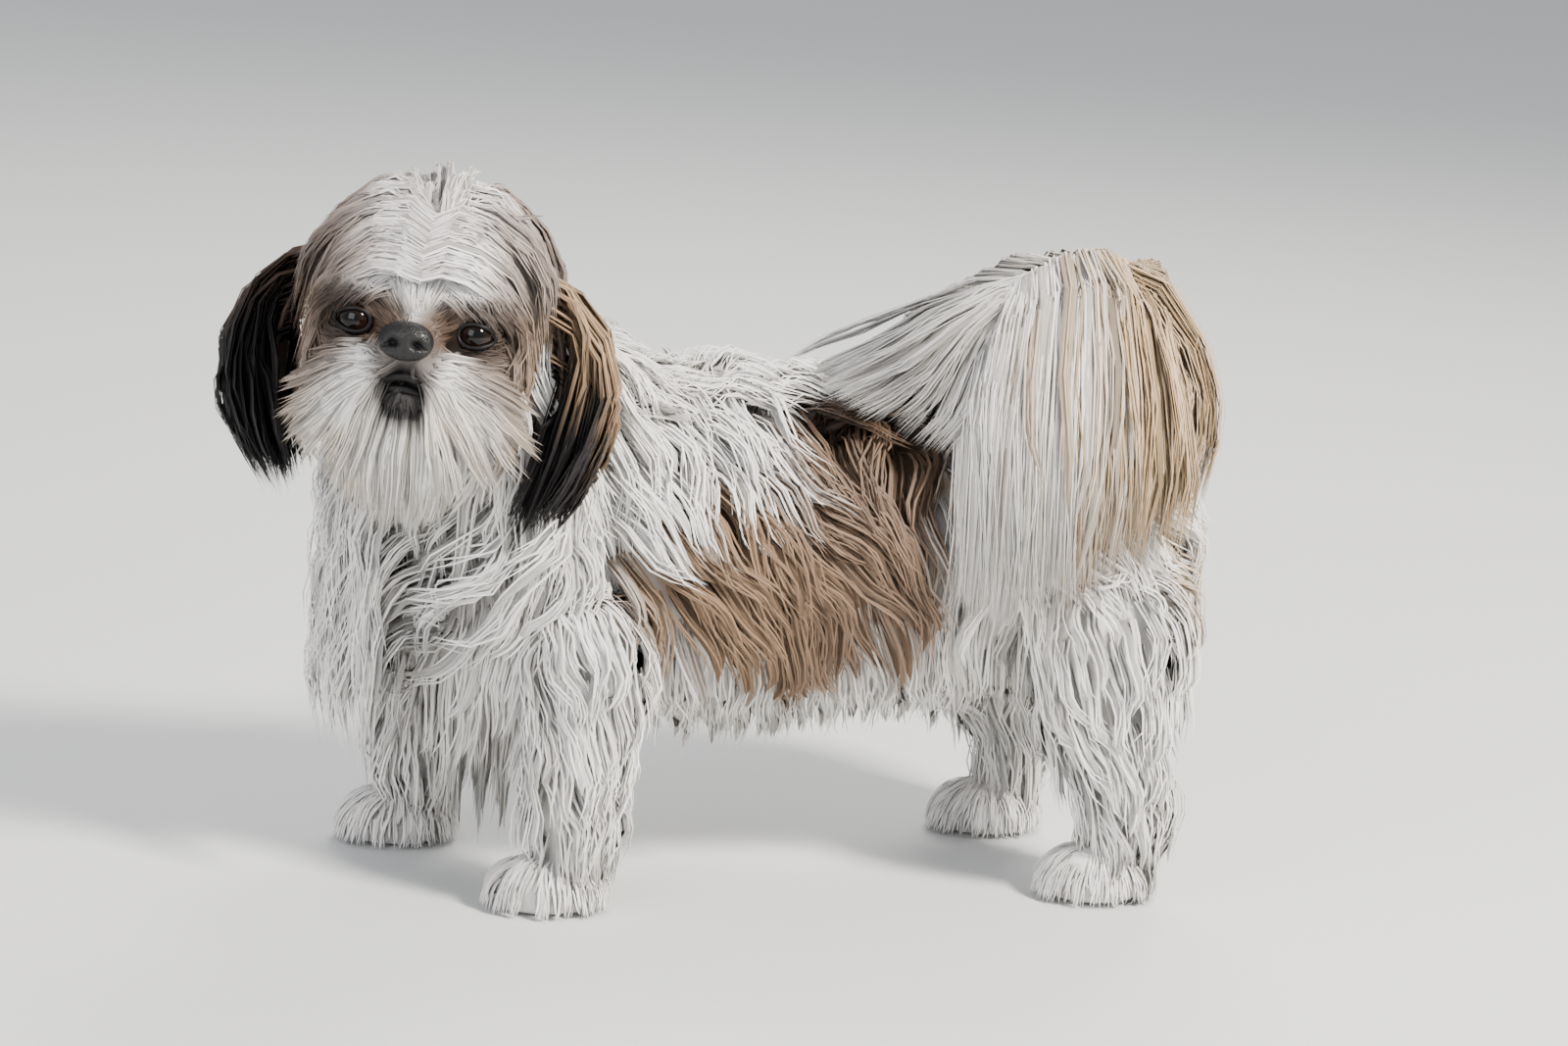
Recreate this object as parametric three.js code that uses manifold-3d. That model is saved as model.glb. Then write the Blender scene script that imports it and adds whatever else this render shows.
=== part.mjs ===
// A standing shih tzu at life size, its head turned to its left and its plumed tail carried over its back.
// Millimetres. +Z is up, the dog faces -Y and its left side is +X. The origin is under the middle of the
// whole dog, on the floor that its four paws stand on.
import * as THREE from "three";
import { mergeVertices } from "three/addons/utils/BufferGeometryUtils.js";
import Module from "manifold-3d";

const wasm = await Module();
wasm.setup();

// Driving sizes
const GAP = 0.5; // clear space between two nodes that touch
const CORE_SHARE = 0.4; // how far the solid body under the locks reaches out into the coat
const ROOT_SHARE = 0.15; // how deep in the coat a lock starts
const LOCK_STEPS = 3; // sections along a lock
const LOCK_FLATNESS = 0.5; // height of a lock's ridge as a share of its half width
const EYE_RADIUS = 9.5;
const EYE_AT = [28, -37, -3]; // left eye, in the head's own frame
const LID = 2; // how far the lids stand off the eyeball
const NOSE_HALF = [13, 8, 9.5]; // half width, half depth and half height
const NOSE_AT = [0, -65, -8];
const LIP = 2; // half thickness of a lip
const PAW_HALF = [23, 30, 21];
const SCRAP = 0.05; // detail finer than this is merged after the joins

// The head's place and turn. Head sizes are given as if it faced -Y, from the middle of the skull.
const HEAD_AT = [37, -211, 286];
const HEAD_TURN = 68; // degrees to the dog's left
const HEAD_LIFT = 6; // degrees up
const HEAD_TILT = 3; // degrees, crown towards the dog's left

// Stations of each body surface: centre x, y, z, half width, half height and depth of coat
const TORSO = [
  [-3, -203, 146, 56, 60, 30],
  [-2, -155, 155, 63, 74, 30],
  [0, -95, 162, 66, 78, 26],
  [0, -40, 161, 66, 74, 23],
  [1, 15, 165, 62, 68, 22],
  [3, 72, 169, 61, 64, 22],
  [6, 130, 173, 62, 61, 24],
  [10, 188, 170, 54, 58, 26],
];
const NECK = [
  [0, -112, 178, 58, 60, 22],
  [2, -142, 205, 58, 60, 28],
  [8, -170, 235, 52, 54, 28],
  [20, -190, 262, 46, 48, 22],
  [30, -203, 284, 40, 42, 16],
];
const LEGS = {
  foreleg_left: [
    [58, -126, 158, 26, 34, 12],
    [66, -128, 122, 20, 26, 18],
    [68, -132, 84, 15, 18, 20],
    [67, -134, 50, 14, 16, 20],
    [66, -134, 22, 14, 15, 18],
  ],
  foreleg_right: [
    [-56, -146, 158, 26, 34, 12],
    [-60, -164, 118, 20, 26, 18],
    [-58, -176, 82, 15, 18, 18],
    [-56, -180, 50, 14, 16, 17],
    [-55, -180, 22, 14, 15, 16],
  ],
  hindleg_left: [
    [52, 142, 172, 34, 48, 14],
    [64, 140, 132, 26, 40, 18],
    [69, 142, 92, 18, 27, 20],
    [69, 158, 54, 13, 18, 20],
    [69, 156, 22, 13, 16, 18],
  ],
  hindleg_right: [
    [-48, 140, 172, 34, 48, 14],
    [-58, 134, 132, 26, 40, 18],
    [-60, 130, 92, 18, 27, 18],
    [-56, 144, 54, 13, 18, 18],
    [-54, 142, 22, 13, 16, 16],
  ],
};
const TAIL = [
  [8, 168, 216, 13, 14, 6],
  [11, 184, 248, 11, 12, 9],
  [19, 166, 284, 9, 10, 12],
  [27, 130, 306, 8, 8, 12],
  [33, 95, 304, 6, 6, 8],
];

const vec = (x, y, z) => new THREE.Vector3(x, y, z);

// A closed geometry as a solid that can be joined and cut.
function solidOf(geometry) {
  const bare = geometry.clone();
  bare.deleteAttribute("normal");
  bare.deleteAttribute("uv");
  const merged = mergeVertices(bare, 1e-4);
  return new wasm.Manifold(
    new wasm.Mesh({
      numProp: 3,
      vertProperties: merged.attributes.position.array,
      triVerts: new Uint32Array(merged.index.array),
    })
  );
}

// The largest closed surface of a solid, as a geometry. Loose scraps and sealed hollows are dropped.
function geometryOf(solid) {
  const bodies = solid.decompose().sort((a, b) => b.volume() - a.volume());
  const mesh = bodies[0].getMesh();
  const position = new THREE.BufferAttribute(new Float32Array(mesh.vertProperties), 3);
  return new THREE.BufferGeometry()
    .setAttribute("position", position)
    .setIndex(new THREE.BufferAttribute(new Uint32Array(mesh.triVerts), 1));
}

const join = (solids) => wasm.Manifold.union(solids);

// A closed surface through rings of points, with one point at each end.
function ringsGeometry(first, rings, last) {
  const sides = rings[0].length;
  const points = [first, ...rings.flat(), last];
  const end = points.length - 1;
  const index = [];
  for (let j = 0; j < sides; j++) {
    const k = (j + 1) % sides;
    index.push(0, 1 + j, 1 + k);
    for (let i = 0; i + 1 < rings.length; i++) {
      const a = 1 + i * sides;
      const b = a + sides;
      index.push(a + j, b + k, a + k, a + j, b + j, b + k);
    }
    const a = end - sides;
    index.push(end, a + k, a + j);
  }
  return new THREE.BufferGeometry().setFromPoints(points).setIndex(index);
}

// A body surface: elliptical sections along a smooth path, rounded off at both ends.
class Surface {
  constructor(stations, bluntness = 5) {
    this.path = new THREE.CatmullRomCurve3(stations.map((s) => vec(s[0], s[1], s[2])));
    this.sizes = new THREE.CatmullRomCurve3(stations.map((s) => vec(s[3], s[4], s[5])));
    this.bluntness = bluntness;
  }

  // The skin at u along the path and an angle round it, where 0 is the left and 90 degrees the upper side.
  skin(u, angle) {
    const t = this.path.getTangent(Math.min(Math.max(u, 0.001), 0.999));
    const up = vec(1, 0, 0).cross(t).normalize();
    const side = t.clone().cross(up);
    const size = this.sizes.getPoint(u);
    const round = Math.sqrt(Math.max(0, 1 - Math.abs(2 * u - 1) ** this.bluntness));
    return this.path
      .getPoint(u)
      .addScaledVector(side, size.x * round * Math.cos(angle))
      .addScaledVector(up, size.y * round * Math.sin(angle));
  }

  normal(u, angle) {
    if (u < 0.004) return this.path.getTangent(0).negate();
    if (u > 0.996) return this.path.getTangent(1);
    const du = this.skin(Math.min(u + 0.003, 1), angle).sub(this.skin(Math.max(u - 0.003, 0), angle));
    const da = this.skin(u, angle + 0.02).sub(this.skin(u, angle - 0.02));
    return du.cross(da).normalize();
  }

  coat(u) {
    return this.sizes.getPoint(u).z;
  }

  // A point at a share of the coat's depth above the skin.
  point(u, angle, share, extra = 0) {
    const lift = this.coat(u) * share + extra;
    return this.skin(u, angle).addScaledVector(this.normal(u, angle), lift);
  }

  solid(ringCount, sides, share, grow = 0) {
    const rings = [];
    for (let i = 1; i < ringCount; i++) {
      const u = 0.5 - 0.5 * Math.cos((Math.PI * i) / ringCount);
      const ring = [];
      for (let j = 0; j < sides; j++) ring.push(this.point(u, (2 * Math.PI * j) / sides, share, grow));
      rings.push(ring);
    }
    return solidOf(ringsGeometry(this.point(0, 0, share, grow), rings, this.point(1, 0, share, grow)));
  }
}

// Numbers from 0 to 1 that look random and are the same each time.
function dice(seed) {
  let state = seed;
  return () => {
    state = (state * 16807) % 2147483647;
    return state / 2147483647;
  };
}
const chance = dice(4242);
const spread = (amount) => amount * (2 * chance() - 1);

// A flat, tapered lock of hair through points. Its flat side faces outward at each point.
class Lock {
  constructor(points, outward, width) {
    this.points = points;
    this.outward = outward;
    this.width = width;
  }

  solid(grow = 0) {
    const last = this.points.length - 1;
    const rings = [];
    for (let i = 0; i < last; i++) {
      const s = i / last;
      const ahead = this.points[i + 1].clone().sub(this.points[Math.max(i - 1, 0)]).normalize();
      const side = ahead.clone().cross(this.outward[i]).normalize();
      const up = side.clone().cross(ahead);
      const fullness = Math.min(0.6 + 1.4 * s, 1) * Math.sqrt(1 - s ** 2.5);
      const half = (this.width / 2) * fullness;
      const corner = (across, rise) =>
        this.points[i].clone().addScaledVector(side, across).addScaledVector(up, rise);
      const edge = half + 3 * grow;
      rings.push([corner(edge, -grow), corner(0, half * LOCK_FLATNESS + 1.5 * grow), corner(-edge, -grow)]);
    }
    const lead = this.points[last].clone().sub(this.points[last - 1]).normalize();
    const start = this.points[1].clone().sub(this.points[0]).normalize();
    const tip = this.points[last].clone().addScaledVector(lead, 5 * grow);
    const root = this.points[0].clone().addScaledVector(start, -3 * grow);
    const body = solidOf(ringsGeometry(root, rings, tip));
    return grow > 0 ? body.add(this.solid()) : body;
  }
}

// A lock that lies on a body surface. It starts at u and an angle and runs by along and round, with a
// sideways wave, while it rises from the core to the outside of the coat. Its tip hangs lower by the droop.
function coatLock(surface, u, angle, { along = 0, round = 0, width, wave, droop = 0, reach = 1 }) {
  const points = [];
  const outward = [];
  const phase = spread(Math.PI);
  const tipShare = reach * (0.93 + spread(0.07));
  const longer = 1 + spread(0.12);
  for (let i = 0; i <= LOCK_STEPS; i++) {
    const s = i / LOCK_STEPS;
    const at = Math.min(Math.max(u + along * longer * s, 0), 1);
    const turn = angle + round * longer * s + wave * s * Math.sin(2 * Math.PI * s * 1.3 + phase);
    const share = ROOT_SHARE + (tipShare - ROOT_SHARE) * s ** 0.7;
    const point = surface.point(at, turn, share);
    point.z -= droop * s * s;
    points.push(point);
    outward.push(surface.normal(at, turn));
  }
  return new Lock(points, outward, width * (1 + spread(0.15)));
}

// A lock along a curve through a few places, with its flat side facing away from a centre.
function curveLock(places, centre, width, wave = 3, steps = LOCK_STEPS) {
  const curve = new THREE.CatmullRomCurve3(places.map((p) => vec(...p)));
  const points = [];
  const outward = [];
  const phase = spread(Math.PI);
  for (let i = 0; i <= steps; i++) {
    const s = i / steps;
    const point = curve.getPoint(s);
    const out = point.clone().sub(vec(...centre)).normalize();
    const side = curve.getTangent(s).cross(out).normalize();
    points.push(point.addScaledVector(side, wave * s * Math.sin(2 * Math.PI * s * 1.3 + phase)));
    outward.push(out);
  }
  return new Lock(points, outward, width * (1 + spread(0.12)));
}

const lockSolids = (locks, grow) => locks.map((lock) => lock.solid(grow));

// An ellipsoid of the given half sizes, as a solid, with its middle at a place.
function ellipsoid(at, half, grow = 0, across = 10, down = 6) {
  const geometry = new THREE.SphereGeometry(1, across, down);
  geometry.rotateX(Math.PI / 2);
  geometry.scale(half[0] + grow, half[1] + grow, half[2] + grow);
  geometry.translate(...at);
  return solidOf(geometry);
}

const both = (make) => [make(1), make(-1)];

// Turns a solid from the head's own frame into the body's.
const headMatrix = new THREE.Matrix4()
  .makeTranslation(...HEAD_AT)
  .multiply(new THREE.Matrix4().makeRotationZ(THREE.MathUtils.degToRad(HEAD_TURN)))
  .multiply(new THREE.Matrix4().makeRotationX(THREE.MathUtils.degToRad(-HEAD_LIFT)))
  .multiply(new THREE.Matrix4().makeRotationY(THREE.MathUtils.degToRad(HEAD_TILT)));
const placed = (solid) => solid.transform(headMatrix.elements);

// Edges of the two lips, from the left corner of the mouth to its middle.
const UPPER_LIP = [
  [24, -32, -30],
  [15, -52, -29],
  [0, -59, -25],
];
const LOWER_LIP = [
  [20, -34, -35],
  [12, -51, -34],
  [0, -56, -32],
];

// A round bead along one side of the mouth, mirrored to the other side.
function lipSolid(places, grow) {
  const mirrored = places.slice(0, -1).reverse().map(([x, y, z]) => [-x, y, z]);
  const curve = new THREE.CatmullRomCurve3([...places, ...mirrored].map((p) => vec(...p)));
  const steps = 8;
  const rings = [];
  for (let i = 0; i <= steps; i++) {
    const at = curve.getPoint(i / steps);
    const ahead = curve.getTangent(i / steps);
    const side = ahead.clone().cross(vec(0, 0, 1)).normalize();
    const up = side.clone().cross(ahead);
    const ring = [];
    for (let j = 0; j < 5; j++) {
      const angle = (2 * Math.PI * j) / 5;
      const across = (LIP + grow) * Math.cos(angle);
      const rise = (LIP + grow) * Math.sin(angle);
      ring.push(at.clone().addScaledVector(side, across).addScaledVector(up, rise));
    }
    rings.push(ring);
  }
  const reach = (u, sign) => curve.getPoint(u).addScaledVector(curve.getTangent(u), sign * grow);
  return solidOf(ringsGeometry(reach(0, -1), rings, reach(1, 1)));
}

const mirrorX = ([x, y, z], s) => [s * x, y, z];
const eyeSolid = (s, grow = 0) => ellipsoid(mirrorX(EYE_AT, s), Array(3).fill(EYE_RADIUS), grow, 10, 8);

// The upper muzzle, skull and lids, still without hair.
function skullSolid(grow) {
  const parts = [ellipsoid([0, 6, 14], [49, 52, 50], grow, 14, 8)];
  parts.push(ellipsoid([0, -46, -9], [14, 16, 11], grow));
  parts.push(...both((s) => ellipsoid([s * 26, -14, -16], [24, 28, 24], grow)));
  parts.push(...both((s) => ellipsoid([s * 12, -48, -21], [15, 15, 10], grow)));
  parts.push(...both((s) => ellipsoid([s * 25, -33, 13], [16, 13, 8], grow)));
  parts.push(...both((s) => ellipsoid(mirrorX(EYE_AT, s), Array(3).fill(EYE_RADIUS + LID), grow, 12, 8)));
  parts.push(lipSolid(UPPER_LIP, grow));
  return join(parts);
}

// What the open lids leave clear in front of each eyeball.
function lidOpening(s) {
  const [x, y, z] = mirrorX(EYE_AT, s);
  return ellipsoid([x, y - 13, z], [9.6, 12, 6.6]);
}

// Hair of the crown, parted at the middle and falling to both sides and down the nape.
function crownLocks() {
  const locks = [];
  const top = 62; // height of the core's crown
  const rows = 4;
  for (const s of [1, -1]) {
    for (let i = 0; i < rows; i++) {
      const y = -34 + (76 * i) / (rows - 1);
      const root = top - 6 - 0.014 * (y - 6) ** 2;
      const puff = 14 + spread(3);
      const end = 20 + 14 * Math.abs(i / (rows - 1) - 0.35) + spread(5);
      const lean = y < -20 ? -6 : 4;
      locks.push(
        curveLock(
          [
            [s * 3, y, root],
            [s * 18, y + lean * 0.3, root + puff],
            [s * 40, y + lean * 0.7, root + 0.2 * puff],
            [s * 58, y + lean, root - 26],
            [s * 61, y + lean, end],
          ],
          [0, 0, 0],
          38,
          4,
          4
        )
      );
    }
    for (let i = 0; i < 2; i++) {
      const x = s * (11 + 24 * i);
      locks.push(
        curveLock(
          [
            [x * 0.8, 34 - 3 * i, 34 - 5 * i],
            [x, 60 - 5 * i, 26 - 5 * i],
            [x * 1.15, 68 - 6 * i, -4],
            [x * 1.2, 64 - 6 * i, -38 + spread(6)],
          ],
          [0, 0, 0],
          24
        )
      );
    }
    // Short hair that frames the cheek under the eye.
    for (let i = 0; i < 2; i++) {
      const y = -20 + 20 * i;
      locks.push(
        curveLock(
          [
            [s * 36, y - 2, -6],
            [s * 50, y - 6, -26],
            [s * 54, y - 4, -50],
            [s * (48 - 2 * i), y, -76 + spread(5)],
          ],
          [0, 0, -20],
          24
        )
      );
    }
  }
  return locks;
}

// Hair of the upper lip, fanned from beside the nose to both sides.
function moustacheLocks() {
  const locks = [];
  const count = 4;
  for (const s of [1, -1]) {
    for (let i = 0; i < count; i++) {
      const fan = THREE.MathUtils.degToRad(-8 - (70 * i) / (count - 1));
      const length = 50 - 8 * (i / (count - 1)) + spread(4);
      const across = s * Math.cos(fan);
      const down = Math.sin(fan);
      const root = [s * 10, -52, -17 - i];
      const at = (share, forward) => [
        root[0] + across * length * share,
        root[1] - forward + 12 * share * share,
        root[2] + down * length * share,
      ];
      locks.push(curveLock([root, at(0.3, 9), at(0.65, 10), at(1, 4)], [0, -30, -20], 16, 2, 3));
    }
  }
  return locks;
}

// Hair of the chin.
function beardLocks() {
  const locks = [];
  const count = 5;
  for (let i = 0; i < count; i++) {
    const share = (2 * i) / (count - 1) - 1;
    const middle = 1 - share * share;
    locks.push(
      curveLock(
        [
          [16 * share, -34 - 8 * middle, -38],
          [22 * share, -42 - 12 * middle, -52],
          [26 * share, -40 - 13 * middle, -74],
          [24 * share, -34 - 12 * middle, -88 - 7 * middle + spread(3)],
        ],
        [0, -20, -60],
        20,
        2,
        3
      )
    );
  }
  return locks;
}

const hair = {
  head: [...crownLocks(), ...moustacheLocks()],
  jaw: beardLocks(),
};

function headSolid(grow = 0) {
  return join([skullSolid(grow), ...lockSolids(hair.head, grow)]);
}

function jawSolid(grow = 0) {
  const parts = [ellipsoid([0, -40, -36], [17, 21, 9], grow), ellipsoid([0, -18, -38], [24, 28, 12], grow)];
  return join([...parts, lipSolid(LOWER_LIP, grow), ...lockSolids(hair.jaw, grow)]);
}

// The ear leather, cupped towards the head, through places from its root to its tip.
const EAR_LENGTH = { 1: 99, "-1": 88 };
const EAR_CUP = 6;
function earFlap(s, grow) {
  const places = [
    [44, 6, 26],
    [60, 6, 16],
    [70, 4, -14],
    [70, 2, -46],
  ];
  const curve = new THREE.CatmullRomCurve3(places.map((p) => vec(...mirrorX(p, s))));
  const steps = 5;
  const across = 3;
  const rings = [];
  for (let i = 0; i <= steps; i++) {
    const at = curve.getPoint(i / steps);
    const ahead = curve.getTangent(i / steps);
    const out = vec(-s * ahead.z, 0, s * ahead.x).normalize();
    const side = ahead.clone().cross(out);
    const fullness = Math.sqrt(1 - 0.9 * Math.abs((2 * i) / steps - 1) ** 3);
    const width = 22 * fullness + grow;
    const outer = [];
    const inner = [];
    for (let j = 0; j <= across; j++) {
      const share = 1 - (2 * j) / across;
      const bulge = EAR_CUP * fullness ** 2 * (1 - share * share);
      const edge = 1.6 * (1 - 0.6 * share * share) + grow;
      const middle = at.clone().addScaledVector(side, share * width);
      outer.push(middle.clone().addScaledVector(out, bulge + edge));
      inner.push(middle.addScaledVector(out, bulge - edge));
    }
    rings.push([...outer, ...inner.reverse()]);
  }
  const reach = (u, sign) => curve.getPoint(u).addScaledVector(curve.getTangent(u), sign * 2 * grow);
  return solidOf(ringsGeometry(reach(0, -1), rings, reach(1, 1)));
}

// Long hair that hangs from the ear.
function earLocks(s) {
  const locks = [];
  const count = 5;
  const tip = -EAR_LENGTH[s];
  for (let i = 0; i < count; i++) {
    const share = (2 * i) / (count - 1) - 1;
    const middle = 1 - share * share;
    const outer = i % 2 ? 8 : 0;
    locks.push(
      curveLock(
        [
          [s * (56 + 4 * middle), 6 + 16 * share, 18 - 2 * outer],
          [s * (74 + 6 * middle + outer), 5 + 24 * share, -4],
          [s * (80 + 9 * middle + outer), 3 + 30 * share, -42],
          [s * (74 + 4 * middle + outer), 26 * share, -72],
          [s * (62 + outer), 18 * share, tip + 12 * share * share + spread(5)],
        ],
        [0, 0, -20],
        27,
        4,
        4
      )
    );
  }
  return locks;
}
hair.ear_left = earLocks(1);
hair.ear_right = earLocks(-1);

function earSolid(s, grow = 0) {
  const locks = s > 0 ? hair.ear_left : hair.ear_right;
  return join([earFlap(s, grow), ...lockSolids(locks, grow)]);
}

const nostril = (s) => ellipsoid([s * 5.6, NOSE_AT[1] - 7, NOSE_AT[2] - 1], [3.2, 5, 2.4], 0, 6, 4);

function noseSolid(grow = 0) {
  const pad = ellipsoid(NOSE_AT, NOSE_HALF, grow, 12, 8);
  return grow > 0 ? pad : pad.subtract(join(both(nostril)));
}

const surfaces = {
  torso: new Surface(TORSO),
  neck: new Surface(NECK, 8),
  tail: new Surface(TAIL, 8),
};
for (const name in LEGS) surfaces[name] = new Surface(LEGS[name], 8);

// Rows of locks down both sides of the body from the parting on its back, and down its chest and rump.
function torsoLocks() {
  const locks = [];
  const UP = Math.PI / 2;
  const rows = [
    { start: 0.08, round: 1.0, droop: 0 },
    { start: 0.75, round: 1.0, droop: 8 },
    { start: 1.4, round: 0.85, droop: 22 },
    { start: 2.1, round: 0.5, droop: 34 },
  ];
  const inRow = 6;
  for (const s of [1, -1]) {
    rows.forEach((row, r) => {
      for (let i = 0; i < inRow; i++) {
        const u = 0.08 + (0.84 * (i + (r % 2) / 2)) / (inRow - 0.5);
        const droop = row.droop * (1.25 - 0.7 * u);
        locks.push(
          coatLock(surfaces.torso, u, UP - s * (row.start + spread(0.06)), {
            along: 0.06 + spread(0.03),
            round: -s * row.round,
            width: 42,
            wave: 0.1,
            droop,
          })
        );
      }
    });
  }
  for (let row = 0; row < 2; row++) {
    for (let i = 0; i < 5; i++) {
      const share = (i + 0.5 * row) / 4.5;
      const x = -60 + 106 * share;
      const z = 214 - 60 * row;
      locks.push(
        curveLock(
          [
            [x * 0.7, -190, z],
            [x * 0.85, -228, z - 12],
            [x, -238, z - 40],
            [x, -236 + 6 * row, z - 76 + 10 * row + spread(6)],
          ],
          [0, -120, 150],
          32,
          6
        )
      );
    }
    for (let i = 0; i < 4; i++) {
      const x = -38 + (90 * (i + 0.5 * row)) / 3.5;
      const z = 214 - 50 * row;
      locks.push(
        curveLock(
          [
            [x * 0.8, 182, z],
            [x * 0.95, 206, z - 12],
            [x, 212, z - 40],
            [x, 207 - 3 * row, z - 74 + spread(6)],
          ],
          [0, 100, 150],
          28,
          5
        )
      );
    }
  }
  return locks;
}

// The ruff, from behind the head down over the shoulders and breast.
function neckLocks() {
  const locks = [];
  const count = 5;
  for (let row = 0; row < 2; row++) {
    for (let i = 0; i < count; i++) {
      const angle = (2 * Math.PI * (i + 0.5 * row)) / count;
      const front = Math.max(0, -Math.sin(angle));
      locks.push(
        coatLock(surfaces.neck, 0.86 - 0.34 * row, angle, {
          along: -0.45 - 0.05 * front,
          width: 52,
          wave: 0.12,
          droop: 10 * front,
          reach: 1.05,
        })
      );
    }
  }
  return locks;
}

// Feathering down one leg.
function legLocks(surface) {
  const locks = [];
  const count = 3;
  for (let row = 0; row < 2; row++) {
    for (let i = 0; i < count; i++) {
      const angle = (2 * Math.PI * (i + 0.5 * row)) / count;
      locks.push(coatLock(surface, 0.3 + 0.3 * row, angle, { along: 0.34, width: 42, wave: 0.12 }));
    }
  }
  return locks;
}

const PLUME_CENTRE = [50, 115, 240];

// The plume: a white band forward on the back, a fall over the left side and a shorter one to the right.
function plumeLocks() {
  const locks = [];
  const root = (u) => surfaces.tail.path.getPoint(u).toArray();
  const fall = (y, z, u, out) => {
    const [rx, ry, rz] = root(u);
    return curveLock(
      [
        [rx, ry, rz],
        [rx + 14, ry + 0.35 * (y - ry), rz + 20],
        [72 + out, ry + 0.75 * (y - ry), 296],
        [98 + out, y, 240],
        [101 + out, y, z + spread(5)],
      ],
      PLUME_CENTRE,
      30,
      7,
      4
    );
  };
  const long = 7;
  for (let i = 0; i < long; i++) {
    const y = 50 + (104 * i) / (long - 1);
    locks.push(fall(y, 152 + 0.05 * Math.abs(y - 95), 0.95 - 0.45 * (i / (long - 1)), 8 * (i % 2)));
  }
  const short = 3;
  for (let i = 0; i < short; i++) {
    const y = 58 + (104 * i) / (short - 1);
    locks.push(fall(y, 205, 0.98 - 0.45 * (i / (short - 1)), 10));
  }
  for (let i = 0; i < 4; i++) {
    const x = 8 + 21 * i;
    const [rx, ry, rz] = root(0.35 + 0.05 * i);
    locks.push(
      curveLock(
        [
          [rx, ry, rz],
          [0.5 * (rx + x), ry + 14, rz + 20],
          [x, 178, 288 - 2 * i],
          [x + 4, 184, 246],
          [x + 6, 176, 205 + 4 * i + spread(6)],
        ],
        PLUME_CENTRE,
        28,
        6,
        4
      )
    );
  }
  for (let i = 0; i < 3; i++) {
    const y = 66 + 44 * i;
    const [rx, ry, rz] = root(0.92 - 0.1 * i);
    locks.push(
      curveLock(
        [
          [rx, ry, rz],
          [8, y, rz + 14],
          [-20, y, 300 - 3 * i],
          [-44, y - 4, 272 + spread(5)],
        ],
        PLUME_CENTRE,
        24,
        5
      )
    );
  }
  for (let i = 0; i < 3; i++) {
    const x = -2 + 21 * i;
    const [rx, ry, rz] = root(0.97);
    locks.push(
      curveLock(
        [
          [rx, ry, rz],
          [0.6 * rx + 0.4 * x, 70, rz + 6],
          [x, 42, 298],
          [x - 2, 18, 282],
          [x - 6, -6 + 3 * i + spread(5), 266],
        ],
        PLUME_CENTRE,
        20,
        4
      )
    );
  }
  return locks;
}

// Hair over the foot, falling from its top to the floor.
function pawLocks([x, y]) {
  const locks = [];
  const count = 5;
  for (let i = 0; i < count; i++) {
    const angle = (2 * Math.PI * (i - (count - 1) / 2)) / (count + 1) - Math.PI / 2;
    const out = (share, z) => [
      x + share * PAW_HALF[0] * Math.cos(angle),
      y + share * PAW_HALF[1] * Math.sin(angle),
      z,
    ];
    locks.push(curveLock([out(0.5, 24), out(0.95, 25), out(1.16, 14), out(1.14, 2)], [x, y, 0], 20, 1.5, 3));
  }
  return locks;
}

hair.torso = torsoLocks();
hair.neck = neckLocks();
hair.tail = plumeLocks();
for (const name in LEGS) hair[name] = legLocks(surfaces[name]);

const PAWS = {
  forepaw_left: [66, -142],
  forepaw_right: [-55, -189],
  hindpaw_left: [68, 146],
  hindpaw_right: [-54, 132],
};
for (const name in PAWS) hair[name] = pawLocks(PAWS[name]);

const RINGS = { torso: [10, 12], neck: [6, 10], tail: [9, 6] }; // rings and sides of each core

// A body surface's core with its locks.
function coated(name, grow = 0) {
  const [rings, sides] = RINGS[name] ?? [7, 8];
  return join([surfaces[name].solid(rings, sides, CORE_SHARE, grow), ...lockSolids(hair[name], grow)]);
}

function pawSolid(name, grow = 0) {
  const [x, y] = PAWS[name];
  const pad = ellipsoid([x, y, 12], PAW_HALF, grow);
  return join([pad, ...lockSolids(hair[name], grow)]).trimByPlane([0, 0, 1], 0);
}

const group = new THREE.Group();

function add(name, solid, material) {
  const mesh = new THREE.Mesh(geometryOf(solid.simplify(SCRAP)), material);
  mesh.name = name;
  group.add(mesh);
}

const finish = (color, roughness) => new THREE.MeshStandardMaterial({ color, roughness, metalness: 0 });
const WHITE_COAT = finish(0xe4ded6, 0.85);
const MIXED_COAT = finish(0x9c8468, 0.85);
const GOLD_COAT = finish(0xcbb08c, 0.85);
const DARK_COAT = finish(0x3a2c24, 0.8);
const NOSE_LEATHER = finish(0x121012, 0.45);
const EYE = finish(0x17100c, 0.1);

const earCuts = both((s) => earSolid(s, GAP));
const noseCut = noseSolid(GAP);
const eyeCuts = [...both((s) => eyeSolid(s, GAP)), ...both(lidOpening)];
const headCut = headSolid(GAP);

add("head", placed(headSolid().subtract(join([...eyeCuts, noseCut, ...earCuts]))), WHITE_COAT);
add("jaw", placed(jawSolid().subtract(join([headCut, noseCut, ...earCuts]))), WHITE_COAT);
add("nose", placed(noseSolid()), NOSE_LEATHER);
add("eye_left", placed(eyeSolid(1)), EYE);
add("eye_right", placed(eyeSolid(-1)), EYE);
add("ear_left", placed(earSolid(1)), DARK_COAT);
add("ear_right", placed(earSolid(-1)), DARK_COAT);

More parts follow.
